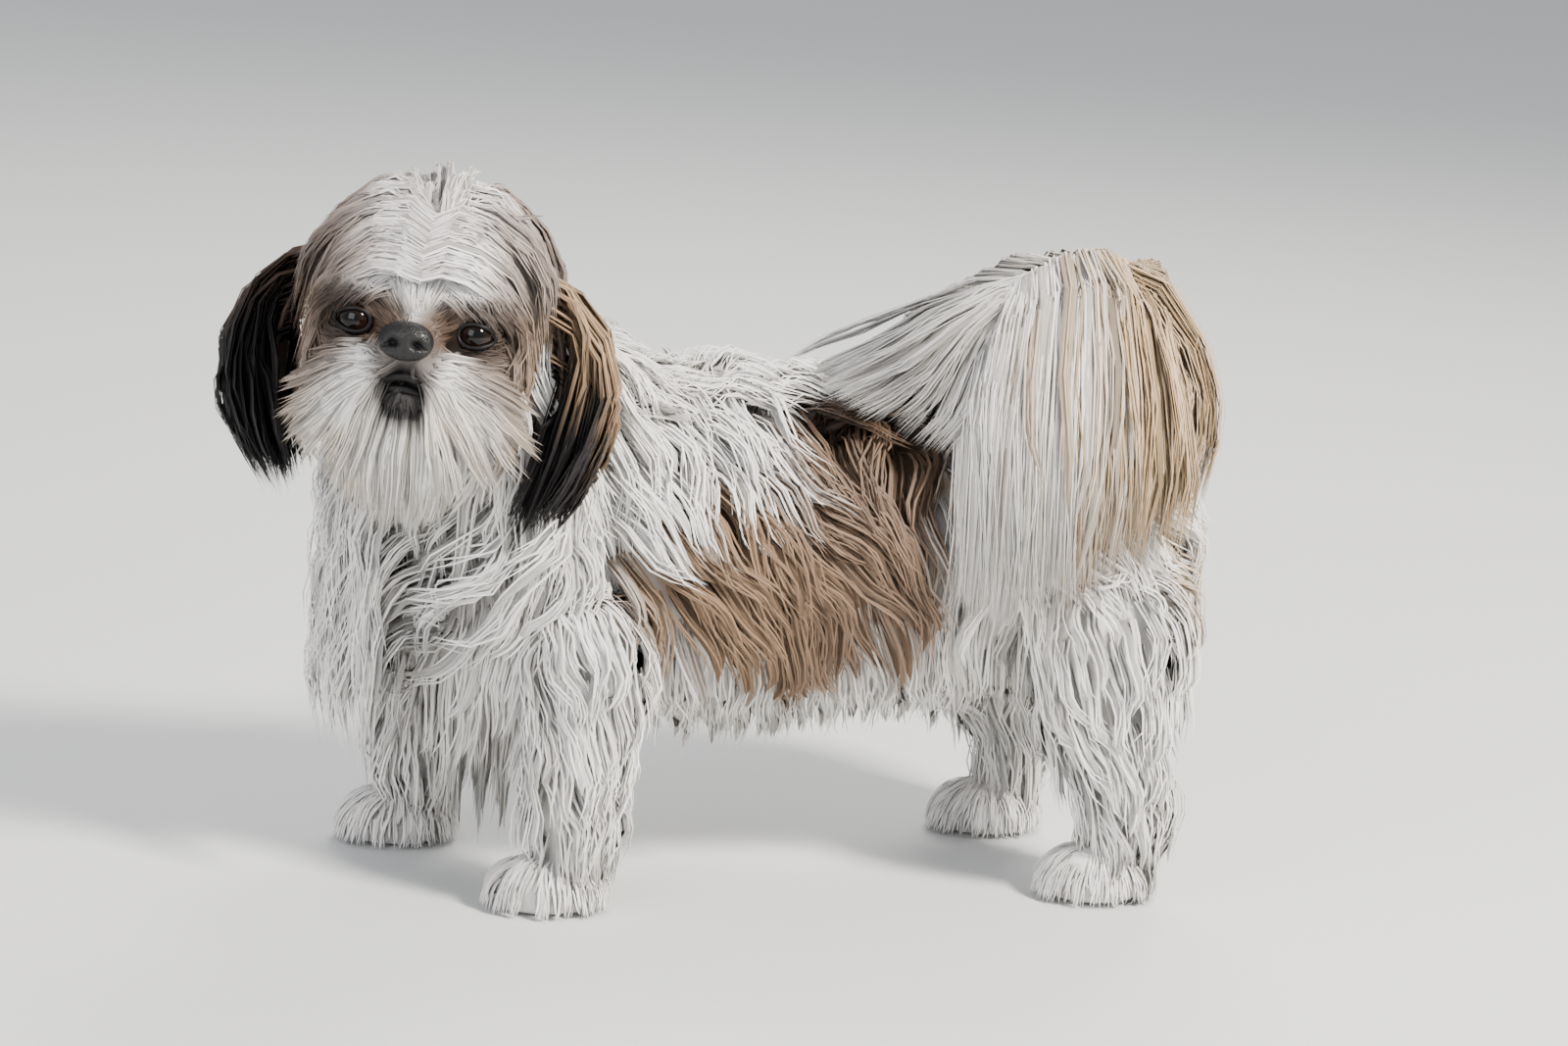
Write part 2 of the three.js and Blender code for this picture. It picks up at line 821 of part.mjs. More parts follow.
const headGrown = placed(join([headCut, jawSolid(GAP), ...earCuts]));
add("neck", coated("neck").subtract(headGrown), WHITE_COAT);
const torsoCut = join([headGrown, coated("neck", GAP), coated("tail", GAP)]);
add("torso", coated("torso").subtract(torsoCut), MIXED_COAT);
add("tail", coated("tail"), GOLD_COAT);
const torsoGrown = join([coated("torso", GAP), torsoCut]);
for (const name in LEGS) {
  const pawName = name.replace("leg", "paw");
  const cut = join([torsoGrown, pawSolid(pawName, GAP)]);
  add(name, coated(name).subtract(cut).trimByPlane([0, 0, 1], GAP), WHITE_COAT);
  add(pawName, pawSolid(pawName), WHITE_COAT);
}

// Stands the dog on the floor with the origin under the middle of its box.
const box = new THREE.Box3().setFromObject(group);
const middle = box.getCenter(vec(0, 0, 0));
group.position.set(-middle.x, -middle.y, -box.min.z);

export default group;
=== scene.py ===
"""A standing shih tzu at life size, its head turned to its left and its plumed tail carried over its back.

Shapes are worked out in millimetres in the dog's own frame, where it faces -Y and its left is +X, and
are put into metres in the shared frame as each mesh is made.
"""

import logging
import math
from collections.abc import Callable, Sequence
from dataclasses import dataclass, field
from enum import Enum

import bpy
import numpy as np
from mathutils import Matrix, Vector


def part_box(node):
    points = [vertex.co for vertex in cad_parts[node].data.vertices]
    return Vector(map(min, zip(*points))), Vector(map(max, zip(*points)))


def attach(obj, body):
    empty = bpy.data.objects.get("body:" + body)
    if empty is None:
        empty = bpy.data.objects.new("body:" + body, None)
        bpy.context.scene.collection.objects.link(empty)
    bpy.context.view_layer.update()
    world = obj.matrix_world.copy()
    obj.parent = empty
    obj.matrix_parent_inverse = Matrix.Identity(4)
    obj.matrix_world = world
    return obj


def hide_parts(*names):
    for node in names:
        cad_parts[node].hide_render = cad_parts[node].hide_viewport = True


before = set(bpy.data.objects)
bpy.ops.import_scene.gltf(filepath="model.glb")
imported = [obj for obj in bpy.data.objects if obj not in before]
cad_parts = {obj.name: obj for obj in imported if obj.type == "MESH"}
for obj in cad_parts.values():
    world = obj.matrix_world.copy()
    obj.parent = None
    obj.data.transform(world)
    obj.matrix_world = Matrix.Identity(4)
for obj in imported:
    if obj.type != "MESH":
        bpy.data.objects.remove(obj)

log = logging.getLogger("shih_tzu")

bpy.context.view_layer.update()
MM = 0.001

# Driving sizes, as in the solids, in millimetres
HEAD_AT = (37.0, -211.0, 286.0)
HEAD_TURN = 68.0
HEAD_LIFT = 6.0
HEAD_TILT = 3.0
EYE_AT = (28.0, -37.0, -3.0)
EYE_RADIUS = 9.5
NOSE_AT = (0.0, -65.0, -8.0)
NOSE_HALF = (13.0, 8.0, 9.5)

# Stations of each body surface: centre x, y, z, half width, half height and depth of coat
TORSO = (
    (-3, -203, 146, 56, 60, 30),
    (-2, -155, 155, 63, 74, 30),
    (0, -95, 162, 66, 78, 26),
    (0, -40, 161, 66, 74, 23),
    (1, 15, 165, 62, 68, 22),
    (3, 72, 169, 61, 64, 22),
    (6, 130, 173, 62, 61, 24),
    (10, 188, 170, 54, 58, 26),
)
NECK = (
    (0, -112, 178, 58, 60, 22),
    (2, -142, 205, 58, 60, 28),
    (8, -170, 235, 52, 54, 28),
    (20, -190, 262, 46, 48, 22),
    (30, -203, 284, 40, 42, 16),
)
FORELEG_LEFT = (
    (58, -126, 158, 26, 34, 12),
    (66, -128, 122, 20, 26, 18),
    (68, -132, 84, 15, 18, 20),
    (67, -134, 50, 14, 16, 20),
    (66, -134, 22, 14, 15, 18),
)
FORELEG_RIGHT = (
    (-56, -146, 158, 26, 34, 12),
    (-60, -164, 118, 20, 26, 18),
    (-58, -176, 82, 15, 18, 18),
    (-56, -180, 50, 14, 16, 17),
    (-55, -180, 22, 14, 15, 16),
)
HINDLEG_LEFT = (
    (52, 142, 172, 34, 48, 14),
    (64, 140, 132, 26, 40, 18),
    (69, 142, 92, 18, 27, 20),
    (69, 158, 54, 13, 18, 20),
    (69, 156, 22, 13, 16, 18),
)
HINDLEG_RIGHT = (
    (-48, 140, 172, 34, 48, 14),
    (-58, 134, 132, 26, 40, 18),
    (-60, 130, 92, 18, 27, 18),
    (-56, 144, 54, 13, 18, 18),
    (-54, 142, 22, 13, 16, 16),
)
TAIL_PATH = ((8, 168, 216), (11, 184, 248), (19, 166, 284), (27, 130, 306), (33, 95, 304))
TAIL_RADII = (13, 11, 9, 8, 6)
PAW_HALF = (21.0, 28.0, 19.0)
PAW_PLACES = {
    "forepaw_left": (66, -142),
    "forepaw_right": (-55, -189),
    "hindpaw_left": (68, 146),
    "hindpaw_right": (-54, 132),
}

# Skull, bridge, cheeks, muzzle pads, brows, chin, jaw and eye sockets in the head's frame, each a
# centre and half sizes
HEAD_BLOBS = (
    ((0, 4, 6), (48, 50, 43)),
    ((0, -46, -9), (13, 15, 10)),
    ((26, -14, -16), (23, 27, 23)),
    ((-26, -14, -16), (23, 27, 23)),
    ((12, -47, -21), (14, 14, 10)),
    ((-12, -47, -21), (14, 14, 10)),
    ((25, -32, 13), (15, 12, 7)),
    ((-25, -32, 13), (15, 12, 7)),
    ((0, -38, -36), (17, 19, 8)),
    ((0, -18, -36), (23, 27, 12)),
    ((28, -35, -3), (12, 7.5, 11)),
    ((-28, -35, -3), (12, 7.5, 11)),
)
UPPER_LIP = ((23, -32, -30), (14, -51, -29), (0, -58.5, -25), (-14, -51, -29), (-23, -32, -30))
LOWER_LIP = ((19, -34, -34), (12, -50, -33), (0, -55, -31), (-12, -50, -33), (-19, -34, -34))

UP = np.array((0.0, 0.0, 1.0))
Array = np.ndarray

# Flatness of a broad lock's section, size of a hair's patch on OFBake, and least height over the floor
LOCK_FLATNESS = 0.16
PATCH = 0.003
FLOOR_GAP = 0.8


class Tint(Enum):
    """Colours of the coat, as linear red, green and blue."""

    WHITE = (0.84, 0.81, 0.78)
    # Light grey of the crown with painted cool shade of skylight.
    GREY_AND_SKY_SHADE = (0.66, 0.61, 0.61)
    CREAM = (0.70, 0.60, 0.47)
    TAUPE = (0.215, 0.16, 0.13)
    TAN = (0.36, 0.235, 0.14)
    GOLD = (0.50, 0.35, 0.205)
    RUST = (0.25, 0.155, 0.09)
    CHESTNUT = (0.17, 0.106, 0.067)
    UMBER = (0.105, 0.064, 0.042)
    SABLE = (0.05, 0.033, 0.025)
    BLACK = (0.011, 0.009, 0.010)

    def array(self) -> Array:
        """The colour as an array."""
        return np.array(self.value)


class Lie(Enum):
    """How a loft's hair falls."""

    BACK = "back"
    NECK = "neck"
    LEG = "leg"


def unit(vectors: Array) -> Array:
    """Vectors scaled to a length of one along their last axis."""
    return vectors / np.maximum(np.linalg.norm(vectors, axis=-1, keepdims=True), 1e-9)


def smoothstep(values: Array, low: float, high: float) -> Array:
    """Cubic ease from 0 at low to 1 at high: t times t times 3 minus 2t."""
    t = np.clip((values - low) / (high - low), 0, 1)
    return t * t * (3 - 2 * t)


def ripple(points: Array, size: float, seed: int) -> Array:
    """Smooth noise, about -1 to 1: the sum of ten sine waves with random directions and lengths near a size.

    Args:
        points: Places, in rows.
        size: Wavelength in millimetres.
        seed: Chooses the waves.

    Returns:
        One value for each place.
    """
    rng = np.random.default_rng(seed)
    waves = unit(rng.normal(size=(10, 3))) * (2 * np.pi / size) * rng.uniform(0.6, 1.6, (10, 1))
    return np.sin(points @ waves.T + rng.uniform(0, 2 * np.pi, 10)).sum(-1) / 4.0


def spline(places: Sequence[Sequence[float]], count: int) -> Array:
    """Points on a Catmull-Rom curve through places, evenly spread in its parameter.

    Args:
        places: Rows of any width that the curve passes through.
        count: Number of points.

    Returns:
        An array of count rows.
    """
    p = np.asarray(places, float)
    p = np.vstack([2 * p[0] - p[1], p, 2 * p[-1] - p[-2]])
    u = np.linspace(0, len(p) - 3, count)
    i = np.minimum(u.astype(int), len(p) - 4)
    t = (u - i)[:, None]
    a, b, c, d = p[i], p[i + 1], p[i + 2], p[i + 3]
    return 0.5 * (2 * b + (c - a) * t + (2 * a - 5 * b + 4 * c - d) * t**2 + (3 * b - a - 3 * c + d) * t**3)


def curves_of(*rows: Sequence[Array | float]) -> Array:
    """Curves, one for each hair, from the x, y and z of every place along them, as arrays or numbers."""
    return np.stack([np.stack(np.broadcast_arrays(*row), -1) for row in rows], 1)


def rings_about(side: Array, up: Array, sides: int) -> Array:
    """Unit circles in the planes of two directions: side times the cosine plus up times the sine."""
    turn = np.linspace(0, 2 * np.pi, sides, endpoint=False)
    return side[:, None] * np.cos(turn)[None, :, None] + up[:, None] * np.sin(turn)[None, :, None]


def standing(place: Sequence[float], right: Array, up: Array, back: Array) -> Matrix:
    """The matrix of a lamp or camera at a place, from the directions of its own X, Y and Z."""
    return Matrix.Translation(place) @ Matrix(np.column_stack([right, up, back]).tolist()).to_4x4()


def rotation(axis: int, degrees: float) -> Array:
    """The 3 by 3 matrix of a turn about X, Y or Z, numbered 0, 1 or 2."""
    return np.array(Matrix.Rotation(math.radians(degrees), 3, "XYZ"[axis]))


HEAD_BASIS = rotation(2, HEAD_TURN) @ rotation(0, -HEAD_LIFT) @ rotation(1, HEAD_TILT)


def from_head(points: Array) -> Array:
    """Points of the head's own frame in the dog's frame."""
    return points @ HEAD_BASIS.T + np.array(HEAD_AT)


def to_head(points: Array) -> Array:
    """Points of the dog's frame in the head's own frame."""
    return (points - np.array(HEAD_AT)) @ HEAD_BASIS


def frame_shift() -> Array:
    """Where the dog's own origin lies in the shared frame, in metres, from the left eye's packed box."""
    low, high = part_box("eye_left")
    middle = (np.array(low) + np.array(high)) / 2
    return middle - from_head(np.array([EYE_AT]))[0] * MM


SHIFT = frame_shift()


def to_shared(points: Array) -> Array:
    """Millimetres in the dog's frame as metres in the shared frame."""
    return points * MM + SHIFT


class Expr:
    """A socket that takes part in Python arithmetic, each operator adding a Math node."""

    def __init__(self, graph: "Graph", socket: bpy.types.NodeSocket) -> None:
        """Keeps the graph and the socket."""
        self.graph = graph
        self.socket = socket

    def _math(self, operation: str, *values: object) -> "Expr":
        """A Math node of an operation on values."""
        return self.graph.node("ShaderNodeMath", {"operation": operation}, dict(enumerate(values)))

    def __add__(self, other: object) -> "Expr":
        """Sum."""
        return self._math("ADD", self, other)

    def __sub__(self, other: object) -> "Expr":
        """Difference."""
        return self._math("SUBTRACT", self, other)

    def __rsub__(self, other: object) -> "Expr":
        """Difference from a number."""
        return self._math("SUBTRACT", other, self)

    def __mul__(self, other: object) -> "Expr":
        """Product."""
        return self._math("MULTIPLY", self, other)

    __radd__ = __add__
    __rmul__ = __mul__

    def clamped(self) -> "Expr":
        """The value held between 0 and 1."""
        return self.graph.node("ShaderNodeClamp", {}, {"Value": self}, "Result")


class Graph:
    """The nodes of one material, with its Principled shader."""

    def __init__(self, name: str) -> None:
        """Makes an empty material with a shader and an output."""
        self.material = bpy.data.materials.new(name)
        self.material.use_nodes = True
        self.tree = self.material.node_tree
        self.shader = self.tree.nodes["Principled BSDF"]

    def node(self, kind: str, settings: dict, values: dict, output: str | int = 0) -> Expr:
        """Adds a node.

        Args:
            kind: Blender's name of the node type.
            settings: Attributes, set first.
            values: Numbers, tuples or expressions for its inputs, by name or number.
            output: The output to return.

        Returns:
            The output as an expression.
        """
        made = self.tree.nodes.new(kind)
        for key, value in settings.items():
            setattr(made, key, value)
        for key, value in values.items():
            self.feed(made.inputs[key], value)
        return Expr(self, made.outputs[output])

    def feed(self, socket: bpy.types.NodeSocket, value: object) -> None:
        """Links an expression to an input, or sets the input to a number or tuple."""
        if isinstance(value, Expr):
            self.tree.links.new(value.socket, socket)
        else:
            socket.default_value = value

    def set(self, **values: object) -> None:
        """Feeds the shader's inputs, named with underscores for spaces."""
        for key, value in values.items():
            self.feed(self.shader.inputs[key.replace("_", " ")], value)

    def mix(self, factor: object, first: object, second: object) -> Expr:
        """A colour between two, by a factor."""
        mixed = self.tree.nodes.new("ShaderNodeMix")
        mixed.data_type = "RGBA"
        self.feed(mixed.inputs["Factor"], factor)
        self.feed(mixed.inputs[6], first)
        self.feed(mixed.inputs[7], second)
        return Expr(self, mixed.outputs[2])

    def noise(self, vector: Expr, scale: float, detail: float = 3.0) -> Expr:
        """The value of a Noise Texture."""
        return self.node("ShaderNodeTexNoise", {}, {"Vector": vector, "Scale": scale, "Detail": detail}, 0)

    def scaled(self, vector: Expr, factors: tuple[float, float, float]) -> Expr:
        """A vector times factors, part by part."""
        return self.node("ShaderNodeVectorMath", {"operation": "MULTIPLY"}, {0: vector, 1: factors})

    def object_place(self) -> Expr:
        """The place on the object, in metres."""
        return self.node("ShaderNodeTexCoord", {}, {}, "Object")

    def bump(self, height: Expr, strength: float, distance: float) -> Expr:
        """A normal bent by a height."""
        values = {"Height": height, "Strength": strength, "Distance": distance}
        return self.node("ShaderNodeBump", {}, values)


@dataclass(frozen=True)
class CoatFinish:
    """Hair or the skin under it, coloured by the tint that each vertex carries."""

    name: str
    streaks: float = 0.0
    roughness: float = 0.55

    def material(self) -> bpy.types.Material:
        """Builds the material."""
        graph = Graph(self.name)
        tint = graph.node("ShaderNodeVertexColor", {"layer_name": "tint"}, {}, "Color")
        if self.streaks:
            lie = graph.node("ShaderNodeUVMap", {"uv_map": "lie"}, {}, "UV")
            fibres = graph.noise(graph.scaled(lie, (26.0, 1.6, 1.0)), 1.0, 4.0)
            shade = ((fibres - 0.5) * (2.2 * self.streaks) + 0.5).clamped()
            # Painted shade between the fibres: a dimmed copy of the tint, laid where the bump sinks into
            # grooves.
            darker = graph.mix(0.55, tint, (0.0, 0.0, 0.0, 1.0))
            graph.set(Base_Color=graph.mix(shade, darker, tint), Normal=graph.bump(fibres, 0.9, 0.0012))
        else:
            graph.set(Base_Color=tint)
        graph.set(Roughness=self.roughness, Specular_IOR_Level=0.35)
        return graph.material


@dataclass(frozen=True)
class NoseFinish:
    """Damp black nose leather with a fine pebbled grain."""

    name: str = "nose_leather"

    def material(self) -> bpy.types.Material:
        """Builds the material."""
        graph = Graph(self.name)
        place = graph.object_place()
        grain = graph.node("ShaderNodeTexVoronoi", {}, {"Vector": place, "Scale": 950.0}, "Distance")
        mottle = graph.noise(place, 260.0)
        colour = graph.mix(mottle, (0.004, 0.004, 0.004, 1.0), (0.013, 0.011, 0.012, 1.0))
        graph.set(Base_Color=colour, Roughness=0.46, Specular_IOR_Level=0.3, Coat_Weight=0.08)
        graph.set(Normal=graph.bump(grain, 0.5, 0.0006))
        return graph.material


@dataclass(frozen=True)
class LeatherFinish:
    """Bare dark skin of the lids and lips."""

    name: str
    roughness: float = 0.45

    def material(self) -> bpy.types.Material:
        """Builds the material."""
        graph = Graph(self.name)
        mottle = graph.noise(graph.object_place(), 400.0)
        graph.set(Base_Color=graph.mix(mottle, (0.003, 0.003, 0.003, 1.0), (0.010, 0.008, 0.008, 1.0)))
        graph.set(Roughness=self.roughness, Specular_IOR_Level=0.2, Normal=graph.bump(mottle, 0.3, 0.0005))
        return graph.material


@dataclass(frozen=True)
class EyeFinish:
    """A wet dark eye: brown iris round a black pupil, under a clear coat."""

    name: str
    gaze: tuple[float, float, float]
    pupil: float = 0.0034
    iris: float = 0.0078

    def material(self) -> bpy.types.Material:
        """Builds the material from the distance to the point of the eye that looks out, in metres."""
        graph = Graph(self.name)
        place = graph.object_place()
        distance = {"operation": "DISTANCE"}
        away = graph.node("ShaderNodeVectorMath", distance, {0: place, 1: self.gaze}, "Value")
        in_iris = ((away - self.pupil) * (1 / 0.0005)).clamped()
        in_white = ((away - self.iris) * (1 / 0.0008)).clamped()
        fibres = graph.noise(place, 700.0)
        brown = graph.mix(fibres, (0.004, 0.002, 0.0015, 1.0), (0.013, 0.006, 0.003, 1.0))
        colour = graph.mix(in_iris, (0.002, 0.002, 0.002, 1.0), brown)
        graph.set(Base_Color=graph.mix(in_white, colour, (0.007, 0.005, 0.004, 1.0)), Roughness=0.08)
        graph.set(Specular_IOR_Level=0.1, Coat_Weight=0.4, Coat_Roughness=0.02)
        return graph.material


def link_mesh(name: str, mesh: bpy.types.Mesh, material: bpy.types.Material) -> bpy.types.Object:
    """Puts a mesh into the scene as a piece that rides on the still dog.

    Args:
        name: The piece's name.
        mesh: Its mesh, in the shared frame.
        material: Its finish.

    Returns:
        The new object.
    """
    piece = bpy.data.objects.new(name, mesh)
    bpy.context.scene.collection.objects.link(piece)
    mesh.materials.append(material)
    mesh.polygons.foreach_set("use_smooth", np.ones(len(mesh.polygons), bool))
    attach(piece, "root")
    log.info("%s: %d faces", name, len(mesh.polygons))
    return piece


def set_tint(mesh: bpy.types.Mesh, colours: Array) -> None:
    """Stores one colour for each vertex in the attribute named tint."""
    rgba = np.ones((len(colours), 4), np.float32)
    rgba[:, :3] = np.clip(colours, 0, 1)
    mesh.color_attributes.new("tint", "FLOAT_COLOR", "POINT").data.foreach_set("color", rgba.ravel())


def shell(grid: Array) -> tuple[Array, list[tuple[int, ...]]]:
    """Closes a tube of rings with a point at each end.

    Args:
        grid: Rings by sides by 3. The first and last rings are shrunk to their middles for the ends.

    Returns:
        Points and faces that point outwards where the rings turn anticlockwise about the way they advance.
    """
    rings, sides = grid.shape[:2]
    points = np.vstack([grid[0].mean(0), grid.reshape(-1, 3), grid[-1].mean(0)])
    j = np.arange(sides)
    k = (j + 1) % sides
    a = (1 + sides * np.arange(rings - 1))[:, None]
    quads = np.stack([a + j, a + sides + j, a + sides + k, a + k], -1).reshape(-1, 4)[:, ::-1]
    last = 1 + sides * (rings - 1)
    faces = [tuple(q) for q in quads.tolist()]
    faces += [(0, 1 + x, 1 + y) for x, y in zip(k.tolist(), j.tolist())]
    faces += [(len(points) - 1, last + x, last + y) for x, y in zip(j.tolist(), k.tolist())]
    return points, faces


def sphere_grid(rings: int, sides: int) -> Array:
    """Unit directions from the +Z pole to the -Z pole, rings by sides by 3."""
    polar = np.linspace(0.04, np.pi - 0.04, rings)[:, None]
    turn = np.linspace(0, 2 * np.pi, sides, endpoint=False)[None, :]
    z = np.repeat(np.cos(polar), sides, 1)
    return np.stack([np.sin(polar) * np.cos(turn), -np.sin(polar) * np.sin(turn), z], -1)


def tube_grid(path: Array, radii: Array, sides: int = 10) -> Array:
    """Circular sections of given radii about a path, rings by sides by 3."""
    ahead = unit(np.gradient(path, axis=0))
    side = unit(np.cross(ahead, UP + 1e-3))
    up = np.cross(side, ahead)
    return path[:, None] + rings_about(side, up, sides) * np.reshape(radii, (-1, 1, 1))


def joined(name: str, grids: Sequence[Array]) -> bpy.types.Mesh:
    """One mesh in the shared frame from closed shells given as rings in the dog's frame."""
    points, faces, base = [], [], 0
    for grid in grids:
        own, own_faces = shell(grid)
        points.append(own)
        faces += [tuple(i + base for i in face) for face in own_faces]
        base += len(own)
    mesh = bpy.data.meshes.new(name)
    mesh.from_pydata(to_shared(np.vstack(points)).tolist(), [], faces)
    return mesh


def mesh_of(name: str, grid: Array) -> bpy.types.Mesh:
    """The mesh of one closed shell, with its faces outward."""
    mesh = joined(name, [grid])
    mesh.validate()
    outward(mesh)
    return mesh


def outward(mesh: bpy.types.Mesh) -> None:
    """Turns a mesh of one closed shell the right way out, by the sign of its volume."""
    mesh.calc_loop_triangles()
    corners = np.empty(3 * len(mesh.loop_triangles), int)
    mesh.loop_triangles.foreach_get("vertices", corners)
    co = np.empty(3 * len(mesh.vertices), np.float32)
    mesh.vertices.foreach_get("co", co)
    a, b, c = co.reshape(-1, 3).astype(float)[corners.reshape(-1, 3)].transpose(1, 0, 2)
    if np.einsum("ij,ij->i", a, np.cross(b, c)).sum() < 0:
        mesh.flip_normals()


@dataclass
class Loft:
    """A body surface of elliptical sections about stations that follow one main direction."""

    stations: Sequence[Sequence[float]]
    axis: tuple[float, float, float]
    bluntness: float = 6.0
    samples: int = 80

    def __post_init__(self) -> None:
        """Works out the local directions and smooth tables of centre, half sizes and coat along the axis."""
        self.ahead = unit(np.array(self.axis, float))
        self.side = unit(np.array((1.0, 0, 0)) - self.ahead[0] * self.ahead)
        self.top = np.cross(self.side, self.ahead)
        table = spline(self.stations, self.samples)
        centre = table[:, :3]
        self.t = centre @ self.ahead
        self.columns = np.column_stack([centre @ self.side, centre @ self.top, table[:, 3:]])

    def at(self, t: Array) -> Array:
        """Centre across and up, half width, half height and coat depth at places along the axis."""
        return np.stack([np.interp(t, self.t, column) for column in self.columns.T], -1)

    def coat(self, t: Array) -> Array:
        """Depth of the coat."""
        return self.at(t)[..., 4]

    def _round(self, t: Array) -> Array:
        """End rounding: the root of 1 minus a power of the distance from the middle."""
        v = np.clip((t - self.t[0]) / (self.t[-1] - self.t[0]), 0, 1)
        return np.sqrt(np.maximum(1 - np.abs(2 * v - 1) ** self.bluntness, 0.0))

    def surface(self, t: Array, angle: Array, lift: Array | float = 0.0) -> tuple[Array, Array]:
        """Places above the skin.

        Args:
            t: Distance along the axis.
            angle: Turn about it, where 0 is the dog's left.
            lift: Height above the skin.

        Returns:
            Places and outward normals, from the ellipse's gradient and its radius's slope along the axis.
        """
        t = np.clip(t, self.t[0], self.t[-1])
        across, up, w, h, _ = np.moveaxis(self.at(t), -1, 0)
        shrink = self._round(t)
        c, s = np.cos(angle), np.sin(angle)
        place = (
            self.side * (across + w * shrink * c)[..., None]
            + self.top * (up + h * shrink * s)[..., None]
            + self.ahead * t[..., None]
        )
        step = 2.0
        slope = (self._round(t + step) - self._round(t - step)) / (2 * step) * (w + h) / 2
        n = self.side * (c * h)[..., None] + self.top * (s * w)[..., None]
        n = unit(unit(n) - self.ahead * np.clip(slope, -6, 6)[..., None])
        return place + n * np.reshape(lift, np.shape(lift) + (1,)), n

    def project(self, points: Array) -> tuple[Array, Array]:
        """Distance along the axis and angle about it of places."""
        t = np.clip(points @ self.ahead, self.t[0], self.t[-1])
        across, up, w, h, _ = np.moveaxis(self.at(t), -1, 0)
        return t, np.arctan2((points @ self.top - up) / h, (points @ self.side - across) / w)

    def grid(self, rings: int = 40, sides: int = 32) -> Array:
        """The closed skin as rings."""
        v = 0.5 - 0.5 * np.cos(np.pi * np.linspace(0.02, 0.98, rings))
        t = self.t[0] + (self.t[-1] - self.t[0]) * v
        angle = np.linspace(0, 2 * np.pi, sides, endpoint=False)
        tt, aa = np.meshgrid(t, angle, indexing="ij")
        return self.surface(tt, aa)[0]


@dataclass
class HeadForm:
    """The head as a surface seen from its middle: the farthest of several ellipsoids in each direction."""

    soft: float = 1.6

    def radius(self, ways: Array) -> Array:
        """Distance to the surface along unit ways, the soft maximum of each ellipsoid's far crossing."""
        total = np.zeros(ways.shape[:-1])
        for centre, half in HEAD_BLOBS:
            d = ways / np.array(half)
            c = np.array(centre) / np.array(half)
            a, b, k = (d * d).sum(-1), (d * c).sum(-1), (c * c).sum() - 1
            inside = b * b - a * k
            reach = np.where(inside > 0, (b + np.sqrt(np.maximum(inside, 0))) / a, 0.0)
            total += np.exp((reach - 60.0) / self.soft) * (reach > 0)
        return 60.0 + self.soft * np.log(total)

    def surface(self, ways: Array, lift: Array | float = 0.0) -> tuple[Array, Array]:
        """Places above the skin and their normals, by differences along two tangents."""
        one = unit(np.cross(ways, np.array((0.13, 0.31, 0.94))))
        two = np.cross(ways, one)
        e = 0.02
        base = ways * self.radius(ways)[..., None]
        a, b = unit(ways + e * one), unit(ways + e * two)
        n = np.cross(a * self.radius(a)[..., None] - base, b * self.radius(b)[..., None] - base)
        n = unit(n * np.sign((n * ways).sum(-1, keepdims=True)))
        return base + n * np.reshape(lift, np.shape(lift) + (1,)), n


@dataclass
class Guides:
    """Centre lines of locks: points and outward directions along each, and each one's place on the map."""

    points: Array
    out: Array
    chart: Array

    def wave(self, size: float, length: float, rng: np.random.Generator, seed: int = 3) -> "Guides":
        """Bends the guides into curls: sideways by a sine and outward by a cosine that grow from the root.

        Args:
            size: Height of the wave.
            length: Its wavelength along the hair.
            rng: Source of the small differences between neighbours.
            seed: Chooses the slow change of phase over the body.

        Returns:
            The same guides, bent.
        """
        steps = np.linalg.norm(np.diff(self.points, axis=1), axis=-1)
        run = np.concatenate([np.zeros((len(steps), 1)), np.cumsum(steps, 1)], 1)
        phase = 2.6 * ripple(self.points[:, 0], 60.0, seed) + rng.uniform(-0.9, 0.9, len(steps))
        theta = 2 * np.pi * run / length + phase[:, None]
        ahead = unit(np.gradient(self.points, axis=1))
        side = np.cross(ahead, self.out)
        grow = (size * np.minimum(run / length, 1.0))[..., None]
        bend = side * np.sin(theta)[..., None] + 0.45 * self.out * np.cos(theta)[..., None]
        self.points = self.points + grow * bend
        return self

    def placed(self) -> "Guides":
        """Guides of the head's frame in the dog's frame."""
        return Guides(from_head(self.points), self.out @ HEAD_BASIS.T, self.chart)


# The arrays of Strands with one row for each hair
PER_HAIR = ("points", "out", "chart", "width", "tint")


